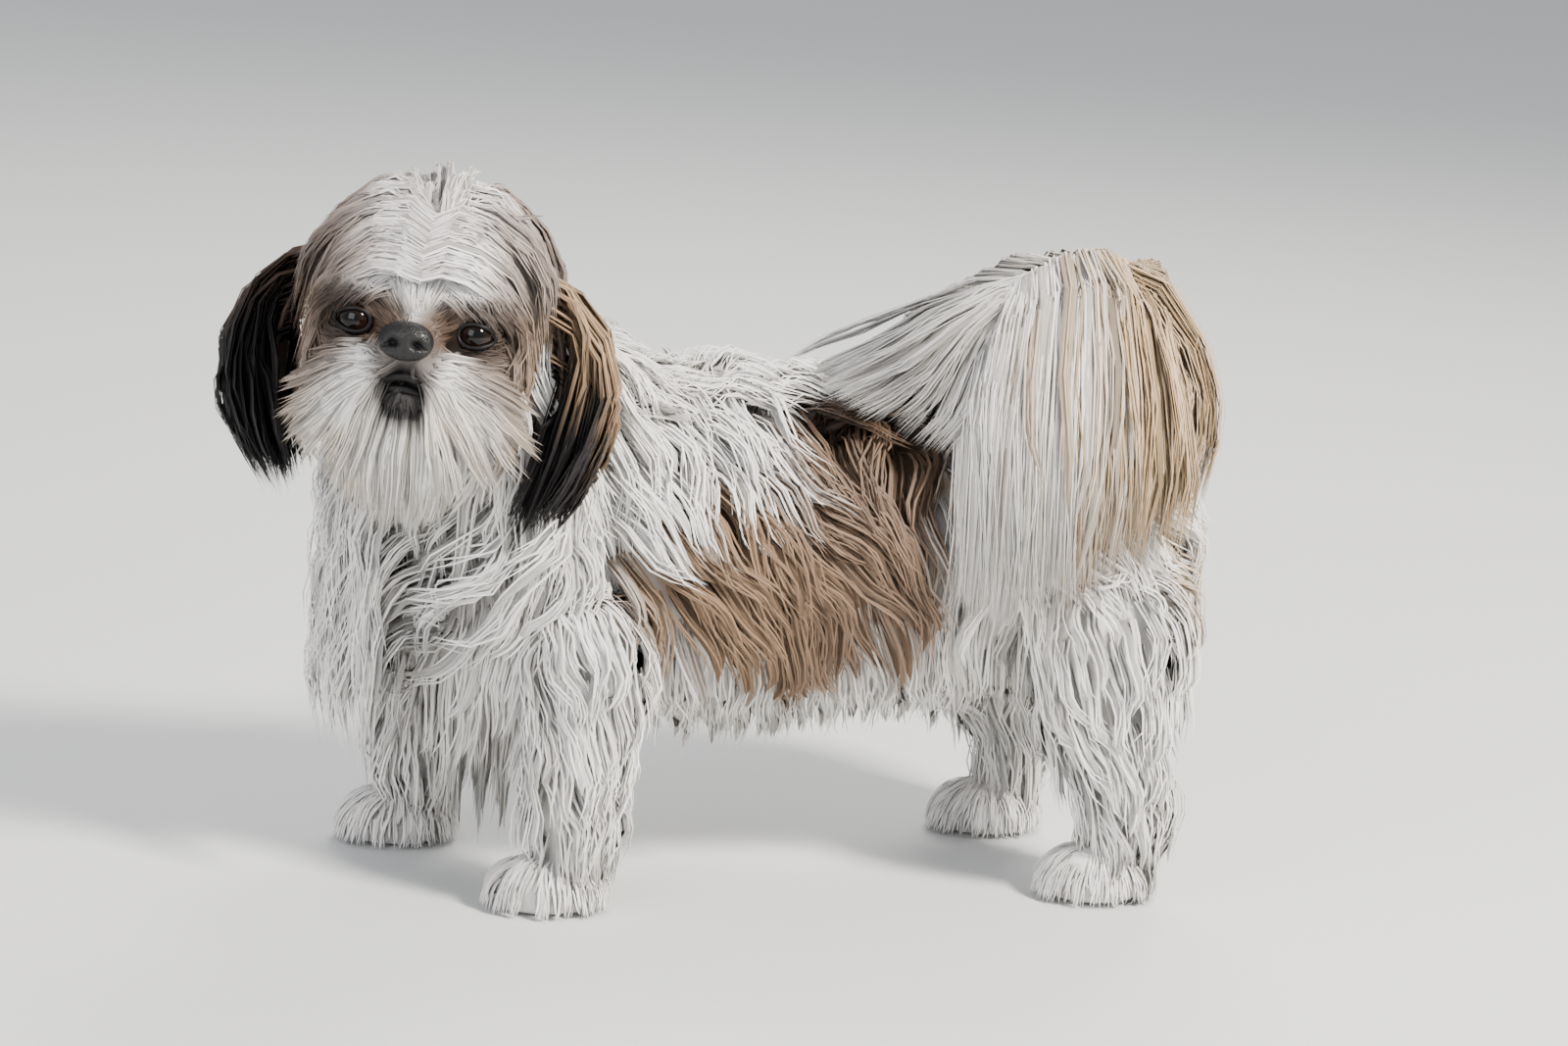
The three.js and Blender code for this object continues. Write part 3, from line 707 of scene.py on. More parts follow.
@dataclass
class Strands:
    """Tapered hairs with a three-sided section, ready to be made into a mesh.

    Their shading normals lean only a little from the coat's own outward direction, so that a lock shades
    as one soft form, as fine hair does.
    """

    points: Array
    out: Array
    chart: Array
    width: Array
    tint: Array
    flatness: float = 0.45

    @staticmethod
    def from_guides(
        guides: Guides,
        per: int,
        spread: float,
        gather: float,
        width: float,
        rng: np.random.Generator,
        shortest: float = 0.62,
    ) -> "Strands":
        """Scatters hairs about each guide, closing in towards its tip.

        Args:
            guides: The centre lines.
            per: Hairs for each.
            spread: Radius of their roots about the guide's root.
            gather: Share of that spread left at the tip.
            width: Width of a hair.
            rng: Source of the scatter.
            shortest: Least length of a hair as a share of its guide's.

        Returns:
            The hairs, white until they are tinted.
        """
        count, knots = guides.points.shape[:2]
        points = np.repeat(guides.points, per, 0)
        out = np.repeat(guides.out, per, 0)
        total = count * per
        s = np.linspace(0, 1, knots)[None, :] * rng.uniform(shortest, 1.0, (total, 1))
        low = np.minimum((s * (knots - 1)).astype(int), knots - 2)
        part = (s * (knots - 1) - low)[..., None]
        row = np.arange(total)[:, None]
        points = points[row, low] * (1 - part) + points[row, low + 1] * part
        out = unit(out[row, low] * (1 - part) + out[row, low + 1] * part)
        side = unit(np.cross(unit(np.gradient(points, axis=1)), out))
        turn = rng.uniform(0, 2 * np.pi, total)
        reach = spread * np.sqrt(rng.uniform(0, 1, total))
        close = 1 - (1 - gather) * s**0.8
        across = (reach * np.cos(turn))[:, None] * close
        raised = (reach * 0.4 * np.sin(turn))[:, None] * close * np.minimum(4 * s, 1)
        stray = rng.normal(0, 0.05 * spread, (total, 1)) * s**2 * 6
        points = points + side * (across + stray)[..., None] + out * raised[..., None]
        chart = np.repeat(guides.chart, per, 0)
        widths = width * rng.uniform(0.7, 1.25, total)
        return Strands(points, out, chart, widths, np.ones(points.shape))

    def tinted(
        self,
        paint: Callable[[Array], Array],
        rng: np.random.Generator,
        root: float = 0.8,
        along: bool = False,
    ) -> "Strands":
        """Colours each hair by the marking at its middle, with painted shade at the root and lighter to the
        tip.

        Args:
            paint: Gives colours for places in the dog's frame.
            rng: Source of the difference between hairs.
            root: Brightness at the root, where the dimming is painted shade.
            along: Whether the colour changes along each hair, by the marking at each of its points.

        Returns:
            The same hairs, tinted.
        """
        s = np.linspace(0, 1, self.points.shape[1])[None, :, None]
        if along:
            base = paint(self.points.reshape(-1, 3)).reshape(self.points.shape)
        else:
            base = paint(self.points[:, self.points.shape[1] // 2])[:, None, :]
        vary = rng.normal(1.0, 0.13, (len(self.points), 1, 1)).clip(0.6, 1.3)
        # Painted shade: each hair dims towards its root, as the inner coat lies in shade.
        self.tint = base * vary * (root + (1.06 - root) * s**0.5)
        return self

    def clear_of(self, centre: Array, half: Array) -> "Strands":
        """Drops hairs that pass through an ellipsoid."""
        hit = (((self.points - centre) / half) ** 2).sum(-1) < 1
        return self.only(~hit.any(1))

    def only(self, mask: Array) -> "Strands":
        """Only the hairs that a mask names."""
        kept = [getattr(self, key)[mask] for key in PER_HAIR]
        return Strands(*kept, flatness=self.flatness)

    def above_floor(self) -> "Strands":
        """The same hairs, none below the floor."""
        self.points[..., 2] = np.maximum(self.points[..., 2], FLOOR_GAP)
        return self

    def flat(self) -> "Strands":
        """The same hairs with the thin section of a broad lock."""
        self.flatness = LOCK_FLATNESS
        return self

    def link(self, name: str, material: bpy.types.Material, slot: str) -> None:
        """Makes the hairs a piece of the scene."""
        link_mesh(name, self.mesh(name), material)

    def mesh(self, name: str) -> bpy.types.Mesh:
        """One mesh of all the hairs, each a closed tapered prism with its ridge outward.

        Args:
            name: The mesh's name.

        Returns:
            The mesh, with its tint and the maps OFBake and lie.
        """
        count, knots = self.points.shape[:2]
        rings = knots - 1
        s = np.linspace(0, 1, knots)[:rings]
        ahead = unit(np.gradient(self.points, axis=1))[:, :rings]
        side = unit(np.cross(ahead, self.out[:, :rings]))
        up = np.cross(side, ahead)
        half = 0.5 * self.width[:, None] * (0.75 + 0.25 * np.minimum(4 * s, 1)) * np.sqrt(1 - s**3)
        across, rise = side * half[..., None], up * (half * 2 * self.flatness)[..., None]
        base = self.points[:, :rings]
        corners = np.stack([base + across, base + rise, base - across], 2)
        verts = np.concatenate([corners.reshape(count, -1, 3), self.points[:, -1:]], 1)
        per = 3 * rings + 1
        a = 3 * np.arange(rings - 1)[:, None]
        j = np.arange(3)[None, :]
        k = (j + 1) % 3
        quads = np.stack([a + j, a + 3 + j, a + 3 + k, a + k], -1).reshape(-1)
        last = 3 * (rings - 1)
        tips = np.array([(last + (x + 1) % 3, last + x, per - 1) for x in range(3)]).reshape(-1)
        pattern = np.concatenate([quads, tips, [0, 1, 2]])
        sizes = np.concatenate([np.full(3 * (rings - 1), 4), np.full(4, 3)])
        loops = (pattern[None] + per * np.arange(count)[:, None]).reshape(-1)
        starts = np.concatenate([[0], np.cumsum(np.tile(sizes, count))[:-1]])
        mesh = bpy.data.meshes.new(name)
        mesh.vertices.add(count * per)
        mesh.vertices.foreach_set("co", to_shared(verts.reshape(-1, 3)).astype(np.float32).ravel())
        mesh.loops.add(len(loops))
        mesh.loops.foreach_set("vertex_index", loops.astype(np.int32))
        mesh.polygons.add(len(starts))
        mesh.polygons.foreach_set("loop_start", starts.astype(np.int32))
        mesh.update(calc_edges=True)
        tint = np.concatenate([np.repeat(self.tint[:, :rings], 3, 1), self.tint[:, -1:]], 1)
        set_tint(mesh, tint.reshape(-1, 3))
        along = np.append(np.repeat(s, 3), 1.0)
        beside = np.append(np.tile([0.0, 0.5, 1.0], rings), 0.5)
        patch = PATCH * (np.stack([beside, along], -1) - 0.5)
        bake = np.clip(self.chart[:, None] + patch[None], 0.001, 0.999)
        start = (np.arange(count) * 0.37 % 7.0)[:, None]
        lie = np.stack([np.broadcast_to(beside, (count, per)) + start, along[None] + start], -1)
        for layer, values in (("OFBake", bake), ("lie", lie)):
            uv = mesh.uv_layers.new(name=layer)
            uv.data.foreach_set("uv", values.reshape(-1, 2)[loops].astype(np.float32).ravel())
        mesh.uv_layers.active = mesh.uv_layers["OFBake"]
        lean = np.stack([side, np.zeros_like(side), -side], 2) * 0.55 + self.out[:, :rings, None]
        normals = np.concatenate([lean.reshape(count, -1, 3), self.out[:, -1:]], 1)
        mesh.polygons.foreach_set("use_smooth", np.ones(len(starts), bool))
        mesh.normals_split_custom_set_from_vertices(unit(normals).reshape(-1, 3).astype(np.float32))
        return mesh


def merge(parts: Sequence[Strands]) -> Strands:
    """Several sets of hairs with one number of knots as one, as flat as the first of them."""
    whole = [np.concatenate([getattr(part, key) for part in parts]) for key in PER_HAIR]
    return Strands(*whole, flatness=parts[0].flatness)


class Markings:
    """The coat's patches, as formulas of place."""

    @staticmethod
    def patch(
        points: Array,
        middle: tuple[float, float, float],
        half: tuple[float, float, float],
        seed: int,
        edge: float = 0.3,
    ) -> Array:
        """A soft ellipsoid with a ragged edge, 1 inside.

        Args:
            points: Places.
            middle: Its middle.
            half: Its half sizes.
            seed: Chooses the raggedness.
            edge: Softness.

        Returns:
            How far each place is in the patch.
        """
        d = np.sqrt((((points - np.array(middle)) / np.array(half)) ** 2).sum(-1))
        d = d + 0.10 * ripple(points, 38.0, seed) + 0.04 * ripple(points, 14.0, seed + 1)
        return 1 - smoothstep(d, 1 - edge / 2, 1 + edge / 2)

    @staticmethod
    def blend(base: Array, tint: Array, mask: Array) -> Array:
        """A colour laid over others by a mask."""
        return base + (tint - base) * mask[:, None]

    @classmethod
    def body(cls, points: Array) -> Array:
        """Colours of the torso, neck and legs: white, with a chestnut saddle and golden breeches."""
        colours = np.repeat(Tint.WHITE.array()[None], len(points), 0)
        left = np.maximum(
            cls.patch(points, (75, -26, 160), (78, 84, 53), 11),
            cls.patch(points, (55, 12, 212), (64, 46, 56), 12),
        )
        right = cls.patch(points, (-65, 20, 185), (58, 66, 56), 13)
        saddle = np.maximum(left, right)
        tone = 0.5 + 0.5 * np.clip(ripple(points, 55.0, 14), -1, 1)
        front = smoothstep(-points[:, 1], -10.0, 70.0)
        brown = Tint.CHESTNUT.array() * (0.8 + 0.5 * tone)[:, None]
        brown = cls.blend(brown, Tint.UMBER.array(), smoothstep(points[:, 2], 190.0, 235.0) * 0.7)
        brown = cls.blend(brown, Tint.RUST.array(), front * 0.6)
        colours = cls.blend(colours, brown, saddle)
        breeches = cls.patch(points, (10, 205, 150), (85, 42, 44), 15, 0.5)
        return cls.blend(colours, Tint.GOLD.array(), breeches * 0.8)

    @classmethod
    def head(cls, points: Array) -> Array:
        """Colours of the head, from places in the dog's frame."""
        p = to_head(points)
        x, y, z = np.abs(p[:, 0]), p[:, 1], p[:, 2]
        mirrored = np.column_stack([x, y, z])
        blotch = ripple(p, 26.0, 21)
        low = 1 - smoothstep(z, -46, -20)
        sides = smoothstep(x + 6 * blotch, 20, 40) * smoothstep(z, -30, -4)
        behind = smoothstep(y + 5 * blotch, -8, 26) * smoothstep(z, 0, 30) * smoothstep(x, 4, 22)
        temple = smoothstep(x + 3 * blotch, 34, 46) * smoothstep(z, -36, -16) * (1 - smoothstep(z, 0, 14))
        cheek = smoothstep(x, 42, 52) * (1 - smoothstep(z, -20, -8))
        nape = smoothstep(y, 22, 46) * smoothstep(z, -30, -6)
        flank = cls.patch(mirrored, (42, -36, -18), (18, 30, 24), 26, 0.9)
        eye = cls.patch(mirrored, (31, -40, -1), (25, 22, 16), 22, 0.7)
        inner = cls.patch(mirrored, (12, -50, -2), (13, 17, 14), 23, 0.9)
        lips = cls.patch(mirrored, (5, -60, -18), (12, 15, 19), 27, 0.7)
        mouth = cls.patch(mirrored, (0, -53, -34), (14, 20, 16), 25, 0.5)
        jowl = cls.patch(p, (40, -20, -48), (13, 18, 14), 24, 0.6)
        colours = np.repeat(Tint.WHITE.array()[None], len(p), 0)
        for tint, brightness, mask in (
            # Grey crown: partly light grey hair, partly painted cool shade of skylight.
            (Tint.GREY_AND_SKY_SHADE, 1.0, smoothstep(z, 2, 22) * (0.45 + 0.35 * blotch).clip(0, 1)),
            (Tint.CREAM, 1.0, low * (0.35 + 0.4 * blotch).clip(0, 0.8)),
            (Tint.TAUPE, 1.0, sides * 0.9),
            (Tint.TAUPE, 1.0, behind * 0.7),
            (Tint.TAN, 0.8, temple * 0.85),
            (Tint.TAN, 1.0, cheek * (0.6 + 0.3 * blotch).clip(0, 1)),
            (Tint.UMBER, 1.5, nape),
            (Tint.TAUPE, 1.0, flank * 0.85),
            # Sable round the eyes: dark hair there, with painted shade of the hollows under the brows.
            (Tint.SABLE, 1.0, eye * 0.97),
            (Tint.UMBER, 1.0, inner * 0.9),
            (Tint.SABLE, 1.5, lips * 0.8),
            (Tint.BLACK, 1.0, mouth * 0.95),
            (Tint.SABLE, 1.0, jowl * 0.85),
        ):
            colours = cls.blend(colours, tint.array() * brightness, mask)
        return colours


@dataclass
class Coat:
    """Grows the hair of every part, over the skin's surfaces or along curves, from one source of chance."""

    seed: int = 77
    rng: np.random.Generator = field(init=False)

    def __post_init__(self) -> None:
        """Starts the source of chance."""
        self.rng = np.random.default_rng(self.seed)

    def on_loft(
        self,
        loft: Loft,
        count: int,
        length: tuple[float, float],
        lie: Lie,
        chart: tuple[float, float, float, float],
        knots: int = 6,
        span: tuple[float, float] = (0.02, 0.98),
    ) -> Guides:
        """Guides over a loft: each steps along the lie, is put back at its height, and hangs free below.

        Args:
            loft: The surface.
            count: How many.
            length: Shortest and longest.
            lie: How they fall.
            chart: Left, bottom, width and height of the surface's place on the unwrap.
            knots: Points along each.
            span: Part of the loft's length with roots.

        Returns:
            The guides.
        """
        rng = self.rng
        v = span[0] + (span[1] - span[0]) * rng.uniform(0, 1, count) ** (1.5 if lie is Lie.LEG else 1.0)
        t = loft.t[0] + (loft.t[-1] - loft.t[0]) * v
        angle = rng.uniform(0.0, 2 * math.pi, count)
        x, y, wide, high = chart
        place = np.column_stack([x + wide * v, y + high * (angle % (2 * np.pi)) / (2 * np.pi)])
        p, n = loft.surface(t, angle)
        long = rng.uniform(*length, count)
        layer = rng.uniform(0.35, 1.0, count) ** 0.8
        crest = np.maximum(n[:, 2], 0) ** 2 * (lie is Lie.BACK)
        points, out = [p], [n]
        for i in range(1, knots):
            s = i / (knots - 1)
            way = self._way(lie, p, n)
            way = unit(way - n * (way * n).sum(-1, keepdims=True))
            step = (long / (knots - 1))[:, None]
            ahead = p + way * step
            t, angle = loft.project(ahead)
            past = np.abs(ahead @ loft.ahead - t) > 0.01
            lift = loft.coat(t) * layer * (1 + 0.15 * crest) * (1 - (1 - s) ** (2.2 + 5 * crest))
            on, n = loft.surface(t, angle, lift)
            free = p - UP * step
            hang = np.clip(-n[:, 2:] * 1.4 - 0.2, 0, 1) * (lie is not Lie.LEG)
            hang = np.maximum(hang, past[:, None])
            p = on * (1 - hang) + free * hang
            points.append(p)
            out.append(n)
        return Guides(np.stack(points, 1), np.stack(out, 1), place)

    @staticmethod
    def _way(lie: Lie, p: Array, n: Array) -> Array:
        """The direction that hair at places wants to take."""
        if lie is Lie.BACK:
            outward = np.sign(p[:, 0] - 2.0) * np.maximum(n[:, 2], 0)
            chest = smoothstep(-p[:, 1], 140.0, 195.0)
            rump = smoothstep(p[:, 1], 110.0, 180.0)
            back = (0.55 + 0.75 * ripple(p, 95.0, 31)) * (1 - 0.8 * chest) * (1 - rump)
            return np.column_stack([1.1 * outward * (1 - chest), back, -np.ones(len(p))])
        if lie is Lie.NECK:
            aside = 0.3 * np.sign(p[:, 0] - 8) * np.maximum(n[:, 2], 0)
            return np.column_stack([aside, 0.3 * n[:, 1] + 0.35 * ripple(p, 80.0, 33), -np.ones(len(p))])
        sway = 0.25 * ripple(p, 60.0, 32)
        return np.column_stack([sway, 0.15 + sway, -np.ones(len(p))])

    def on_head(
        self,
        ways: Array,
        lie: Callable[[Array], Array],
        length: tuple[float, float],
        lift: Callable[[float], Array],
        knots: int,
    ) -> Guides:
        """Guides over the head from roots in given directions, in the head's frame.

        Args:
            ways: Unit directions of the roots.
            lie: The wanted direction for places.
            length: Shortest and longest.
            lift: Height above the skin for the share of the way along.
            knots: Points along each.

        Returns:
            The guides.
        """
        form = HeadForm()
        p, n = form.surface(ways)
        chart = np.column_stack(
            [
                0.52 + 0.46 * (np.arctan2(ways[:, 0], -ways[:, 1]) / (2 * np.pi) + 0.5),
                0.52 + 0.46 * np.arccos(np.clip(ways[:, 2], -1, 1)) / np.pi,
            ]
        )
        long = self.rng.uniform(*length, len(ways))
        points, out = [p], [n]
        for i in range(1, knots):
            s = i / (knots - 1)
            way = lie(p)
            way = unit(way - 0.85 * n * (way * n).sum(-1, keepdims=True))
            step = (long / (knots - 1))[:, None]
            p, n = form.surface(unit(p + way * step), lift(s))
            points.append(p)
            out.append(n)
        return Guides(np.stack(points, 1), np.stack(out, 1), chart)

    def along_curves(self, curves: Array, centre: Array, chart: Array, knots: int) -> Guides:
        """Guides through places, their flat sides facing away from a centre."""
        points = np.stack([spline(c, knots) for c in curves])
        return Guides(points, unit(points - centre), chart)

    def chart_square(self, count: int, left: float, bottom: float, size: float) -> Array:
        """Places for a set of hairs in a square of its own on the map, whatever their roots' places."""
        at = np.arange(count) / max(count - 1, 1)
        return np.column_stack([left + size * at, bottom + size * self.rng.uniform(0, 1, count)])

    def locks(self, guides: Guides, width: float, paint: Callable[[Array], Array]) -> Strands:
        """One broad flat lock on each guide, which fills in between the fine hairs, with more painted shade
        at its root than they have.
        """
        made = Strands.from_guides(guides, 1, 0.5, 1.0, width, self.rng, 0.8)
        made.points = made.points - made.out * (0.45 * width)
        # The lower brightness at the root paints the shade beneath the fine hair onto the lock.
        return made.flat().tinted(paint, self.rng, 0.7)


@dataclass
class TorsoCoat:
    """Wavy coat of back, sides and breast, shorter under the belly, below the height short_below."""

    loft: Loft
    count: int = 1200
    short_below: float = 110.0

    def build(self, coat: Coat, hair: bpy.types.Material, lock: bpy.types.Material) -> None:
        """Makes the torso's pieces: fine hair, one piece a side, and the broad locks beneath."""
        chart = (0.01, 0.01, 0.48, 0.30)
        guides = coat.on_loft(self.loft, self.count, (50, 84), Lie.BACK, chart, 7).wave(5.0, 62.0, coat.rng)
        high, short = guides.points[..., 2], 0.55 * smoothstep(guides.points[..., 1], -150, -120)
        top = self.short_below
        guides.points[..., 2] = np.where(high < top, top - (top - high) * (1 - short), high)
        sets = [guides, self._breast(coat), self._curls(coat)]
        broad = merge([coat.locks(g, 6.5, Markings.body) for g in sets])
        fine = merge([Strands.from_guides(g, 7, 9.0, 0.5, 1.15, coat.rng) for g in sets])
        fine = fine.tinted(Markings.body, coat.rng).above_floor()
        broad.above_floor().link("coat_torso_locks", lock, "mixed_coat")
        left = fine.points[:, 0, 0] > 2.0
        for side, mask in (("left", left), ("right", ~left)):
            fine.only(mask).link(f"coat_torso_{side}", hair, "mixed_coat")

    @staticmethod
    def _breast(coat: Coat) -> Guides:
        """Long hair down the front of the breast, widest on its right."""
        rng, n = coat.rng, 170
        x, z, full = rng.uniform(-68, 52, n), rng.uniform(132, 236, n), rng.uniform(0, 1, n)
        bow = 10 * (1 - (x / 70) ** 2)
        drop = rng.uniform(62, 84, n)
        rows = (
            (0.75 * x, -192 - 0.5 * bow, z),
            (0.9 * x, -222 - bow * full, z - 8),
            (1.06 * x, -232 - bow * full - 4 * full, z - 0.5 * drop),
            (1.08 * x, -232 - bow * full + rng.uniform(-3, 5, n), z - drop),
        )
        curves = curves_of(*rows)
        chart = np.column_stack([0.01 + 0.02 * full, 0.01 + 0.3 * (x + 68) / 120])
        return coat.along_curves(curves, np.array((0.0, -120.0, 150.0)), chart, 7).wave(4.5, 58.0, rng, 34)

    def _curls(self, coat: Coat) -> Guides:
        """Curls that stand up from the withers and the back and bend over behind."""
        rng, n = coat.rng, 120
        y = rng.uniform(-150, 30, n)
        angle = np.pi / 2 - rng.uniform(-0.5, 0.6, n)
        root = self.loft.surface(y, angle)[0]
        rise = rng.uniform(18, 31, n) * (1 - 0.25 * np.abs(angle - np.pi / 2))
        lean = 22 * np.cos(angle) + rng.uniform(-9, 9, n)
        rows = (
            root.T,
            (root[:, 0] + 0.2 * lean, y - 5, root[:, 2] + 0.6 * rise),
            (root[:, 0] + 0.7 * lean, y + 3, root[:, 2] + rise),
            (root[:, 0] + 1.3 * lean, y + 19, root[:, 2] + 0.8 * rise),
            (root[:, 0] + 1.8 * lean, y + 30, root[:, 2] + rng.uniform(0.5, 0.95, n) * rise),
        )
        curves = curves_of(*rows)
        share = (y - self.loft.t[0]) / (self.loft.t[-1] - self.loft.t[0])
        chart = np.column_stack([0.01 + 0.48 * share, 0.01 + 0.30 * angle / (2 * np.pi)])
        return coat.along_curves(curves, np.array((0.0, -60.0, 150.0)), chart, 7).wave(3.0, 44.0, rng, 35)


@dataclass
class NeckCoat:
    """The ruff and mane."""

    loft: Loft
    count: int = 400

    def build(self, coat: Coat, hair: bpy.types.Material, lock: bpy.types.Material) -> None:
        """Makes the mane's piece and the locks beneath."""
        guides = coat.on_loft(self.loft, self.count, (50, 82), Lie.NECK, (0.01, 0.33, 0.24, 0.17), 7)
        guides.wave(4.5, 60.0, coat.rng, 5)
        broad = coat.locks(guides, 6.5, Markings.body)
        fine = Strands.from_guides(guides, 7, 8.5, 0.45, 1.2, coat.rng).tinted(Markings.body, coat.rng)
        broad.link("coat_neck_locks", lock, "white_coat")
        fine.link("coat_neck", hair, "white_coat")


@dataclass
class LegCoat:
    """Feathering of one leg and the hair of its paw."""

    name: str
    loft: Loft
    paw: str
    chart_left: float
    count: int = 250

    def build(self, coat: Coat, hair: bpy.types.Material, lock: bpy.types.Material) -> None:
        """Makes the leg's pieces: the fine hair of leg and paw, and the broad locks beneath."""
        chart = (self.chart_left, 0.34, 0.055, 0.15)
        guides = coat.on_loft(self.loft, self.count, (36, 60), Lie.LEG, chart, 6, (0.0, 0.97))
        guides.wave(4.5, 42.0, coat.rng, 7)
        foot = self._paw_guides(coat)
        foot.wave(1.2, 26.0, coat.rng, 8)
        broad = merge([coat.locks(guides, 6.0, Markings.body), coat.locks(foot, 4.0, Markings.body)])
        fine = merge(
            [
                Strands.from_guides(guides, 5, 7.5, 0.5, 1.2, coat.rng),
                Strands.from_guides(foot, 4, 4.5, 0.5, 0.95, coat.rng),
            ]
        ).tinted(Markings.body, coat.rng)
        broad.above_floor().link(f"coat_{self.name}_locks", lock, "white_coat")
        fine.above_floor().link(f"coat_{self.name}", hair, "white_coat")

    def _paw_guides(self, coat: Coat) -> Guides:
        """Guides over the paw: out from its top, then down to just above the floor."""
        x, y = PAW_PLACES[self.paw]
        count, knots = 150, 6
        turn = coat.rng.uniform(0, 2 * np.pi, count)
        share = np.sqrt(coat.rng.uniform(0.02, 1.0, count))
        half = np.array(PAW_HALF)
        s = np.linspace(0, 1, knots)[None, :]
        first = 0.15 + 1.2 * share[:, None]
        polar = first + (np.minimum(first + 1.1, 2.05) - first) * s
        lift = 1 + (0.10 + 0.08 * coat.rng.uniform(0, 1, (count, 1))) * s
        r = np.sin(np.minimum(polar, 1.5)) * lift
        z = 10 + half[2] * np.cos(polar) * lift
        points = np.stack(
            [x + half[0] * r * np.cos(turn)[:, None], y + half[1] * r * np.sin(turn)[:, None], z], -1
        )
        out = unit(points - np.array((x, y, 6.0)))
        chart = np.column_stack([self.chart_left + 0.055 * turn / (2 * np.pi), 0.30 + 0.03 * share])
        return Guides(points, out, chart)


@dataclass
class TailCoat:
    """The plume: a white band forward, a fall to the left, arcs behind and a shorter fall to the right."""

    centre: tuple[float, float, float] = (50, 115, 240)
    hairs: int = 8

    @staticmethod
    def _paint(tone: Array, band: bool) -> Callable[[Array], Array]:
        """Colours by how golden each hair is."""
        white, gold = Tint.WHITE.array(), Tint.GOLD.array()

        def paint(points: Array) -> Array:
            """White to gold, less golden in the band."""
            share = np.clip(tone + 0.22 * ripple(points, 9.0, 41), 0, 1)[:, None]
            return white * 0.97 + (gold - white) * (share * (0.35 if band else 1.0))

        return paint

    @staticmethod
    def _falls(rng: np.random.Generator, root_line: Array, count: int = 250) -> tuple[Array, Array]:
        """The long fall over the left side, and how golden each hair is."""
        y = 48 + 116 * rng.uniform(0, 1, count)
        out = rng.uniform(-14, 10, count)
        root = root_line[(96 - 26 * (y - 48) / 116 + rng.uniform(-4, 4, count)).astype(int)]
        near, far = root[:, 1] + 0.35 * (y - root[:, 1]), root[:, 1] + 0.8 * (y - root[:, 1])
        depth = rng.uniform(0, 14, count)
        fringe = 138 + 34 * smoothstep(y, 95, 160)
        inner = rng.uniform(0, 1, count) > 0.75
        low = fringe + np.where(inner, rng.uniform(22, 80, count), rng.uniform(0, 22, count))
        rx, ry, rz = root.T
        curves = curves_of(
            (rx, ry, rz),
            (rx + 10, near, 330 - 0.012 * (near - 128) ** 2 - depth),
            (68 + out, far, 311 - 0.010 * (far - 112) ** 2 + 0.4 * out - 0.6 * depth),
            (93 + out, y + 0.05 * (y - 100), 0.45 * 300 + 0.55 * low),
            (96 + out, y - 0.04 * (y - 100) + rng.uniform(-7, 7, count), low),
        )
        return curves, smoothstep(y + rng.normal(0, 14, count), 80, 138)

    @staticmethod
    def _arcs(rng: np.random.Generator, root_line: Array, count: int = 110) -> tuple[Array, Array]:
        """Hair that arches behind the tail, and how golden it is."""
        x = rng.uniform(0, 78, count)
        root = root_line[(58 + 24 * x / 78 + rng.uniform(-4, 4, count)).astype(int)]
        rx, ry, rz = root.T
        low = rng.uniform(182, 235, count)
        reach = rng.uniform(-8, 6, count)
        curves = curves_of(
            (rx, ry, rz),
            (0.5 * (rx + x), 0.5 * (ry + 170) + reach, 320 + 0.6 * reach),
            (x, 172 + reach, 294 - 0.15 * x),
            (x + 4, 182 + reach, 244),
            (x + 6, 172 + reach, low),
        )
        return curves, np.full(count, 0.95)

    @staticmethod
    def _right(rng: np.random.Generator, root_line: Array, count: int = 110) -> tuple[Array, Array]:
        """The shorter fall to the right, and how golden it is."""
        y = rng.uniform(56, 164, count)
        rx, ry, rz = root_line[(96 - 50 * (y - 56) / 108).astype(int)].T
        out = rng.uniform(-9, 7, count)
        curves = curves_of(
            (rx, ry, rz),
            (14.0, y, 318 - 0.008 * (y - 118) ** 2 + out),
            (-18 + out, y, 300 - 0.006 * (y - 112) ** 2 + out),
            (-40 + out, y - 2, 270 + 0.8 * out),
            (-44 + 1.2 * out, y - 6, rng.uniform(226, 262, count)),
        )
        return curves, np.full(count, 0.15)

    @staticmethod
    def _band(rng: np.random.Generator, root_line: Array, count: int = 150) -> tuple[Array, Array]:
        """The white band that runs forward from the tail's end over the back."""
        x = rng.uniform(0, 78, count)
        rx, ry, rz = root_line[rng.integers(86, 100, count)].T
        end = rng.uniform(-26, 44, count)
        sag = rng.uniform(0, 12, count)
        curves = curves_of(
            (rx, ry, rz),
            (0.7 * rx + 0.3 * x, 80.0, rz + 4 - 0.4 * sag),
            (0.25 * rx + 0.75 * x, 0.6 * 80 + 0.4 * end, 293 - sag - 0.1 * (end + 26)),
            (x, 0.25 * 80 + 0.75 * end, 276 - sag - 0.25 * (end + 26)),
            (x - 2, end, 262 - 0.5 * sag - 0.45 * (end + 26)),
        )
        return curves, np.zeros(count)

    @staticmethod
    def _stem(rng: np.random.Generator, root_line: Array, count: int = 170) -> tuple[Array, Array]:
        """The shorter hair round the root of the tail, and how golden it is."""
        at = rng.integers(0, 62, count)
        ahead = unit(np.gradient(root_line, axis=0))[at]
        turn = rng.uniform(0, 2 * np.pi, count)[:, None]
        side = unit(np.cross(ahead, np.array((0.3, 1.0, 0.1))))
        radial = side * np.cos(turn) + np.cross(side, ahead) * np.sin(turn)
        long = rng.uniform(26, 44, (count, 1))
        root = root_line[at] + radial * 9
        places = []
        for s in (0.0, 0.3, 0.65, 1.0):
            rise = ahead * 0.45 * long * s * (1 - s) - UP * long * s**1.5
            places.append(root + radial * 13 * s**0.6 + rise)
        return np.stack(places, 1), np.full(count, 0.25)

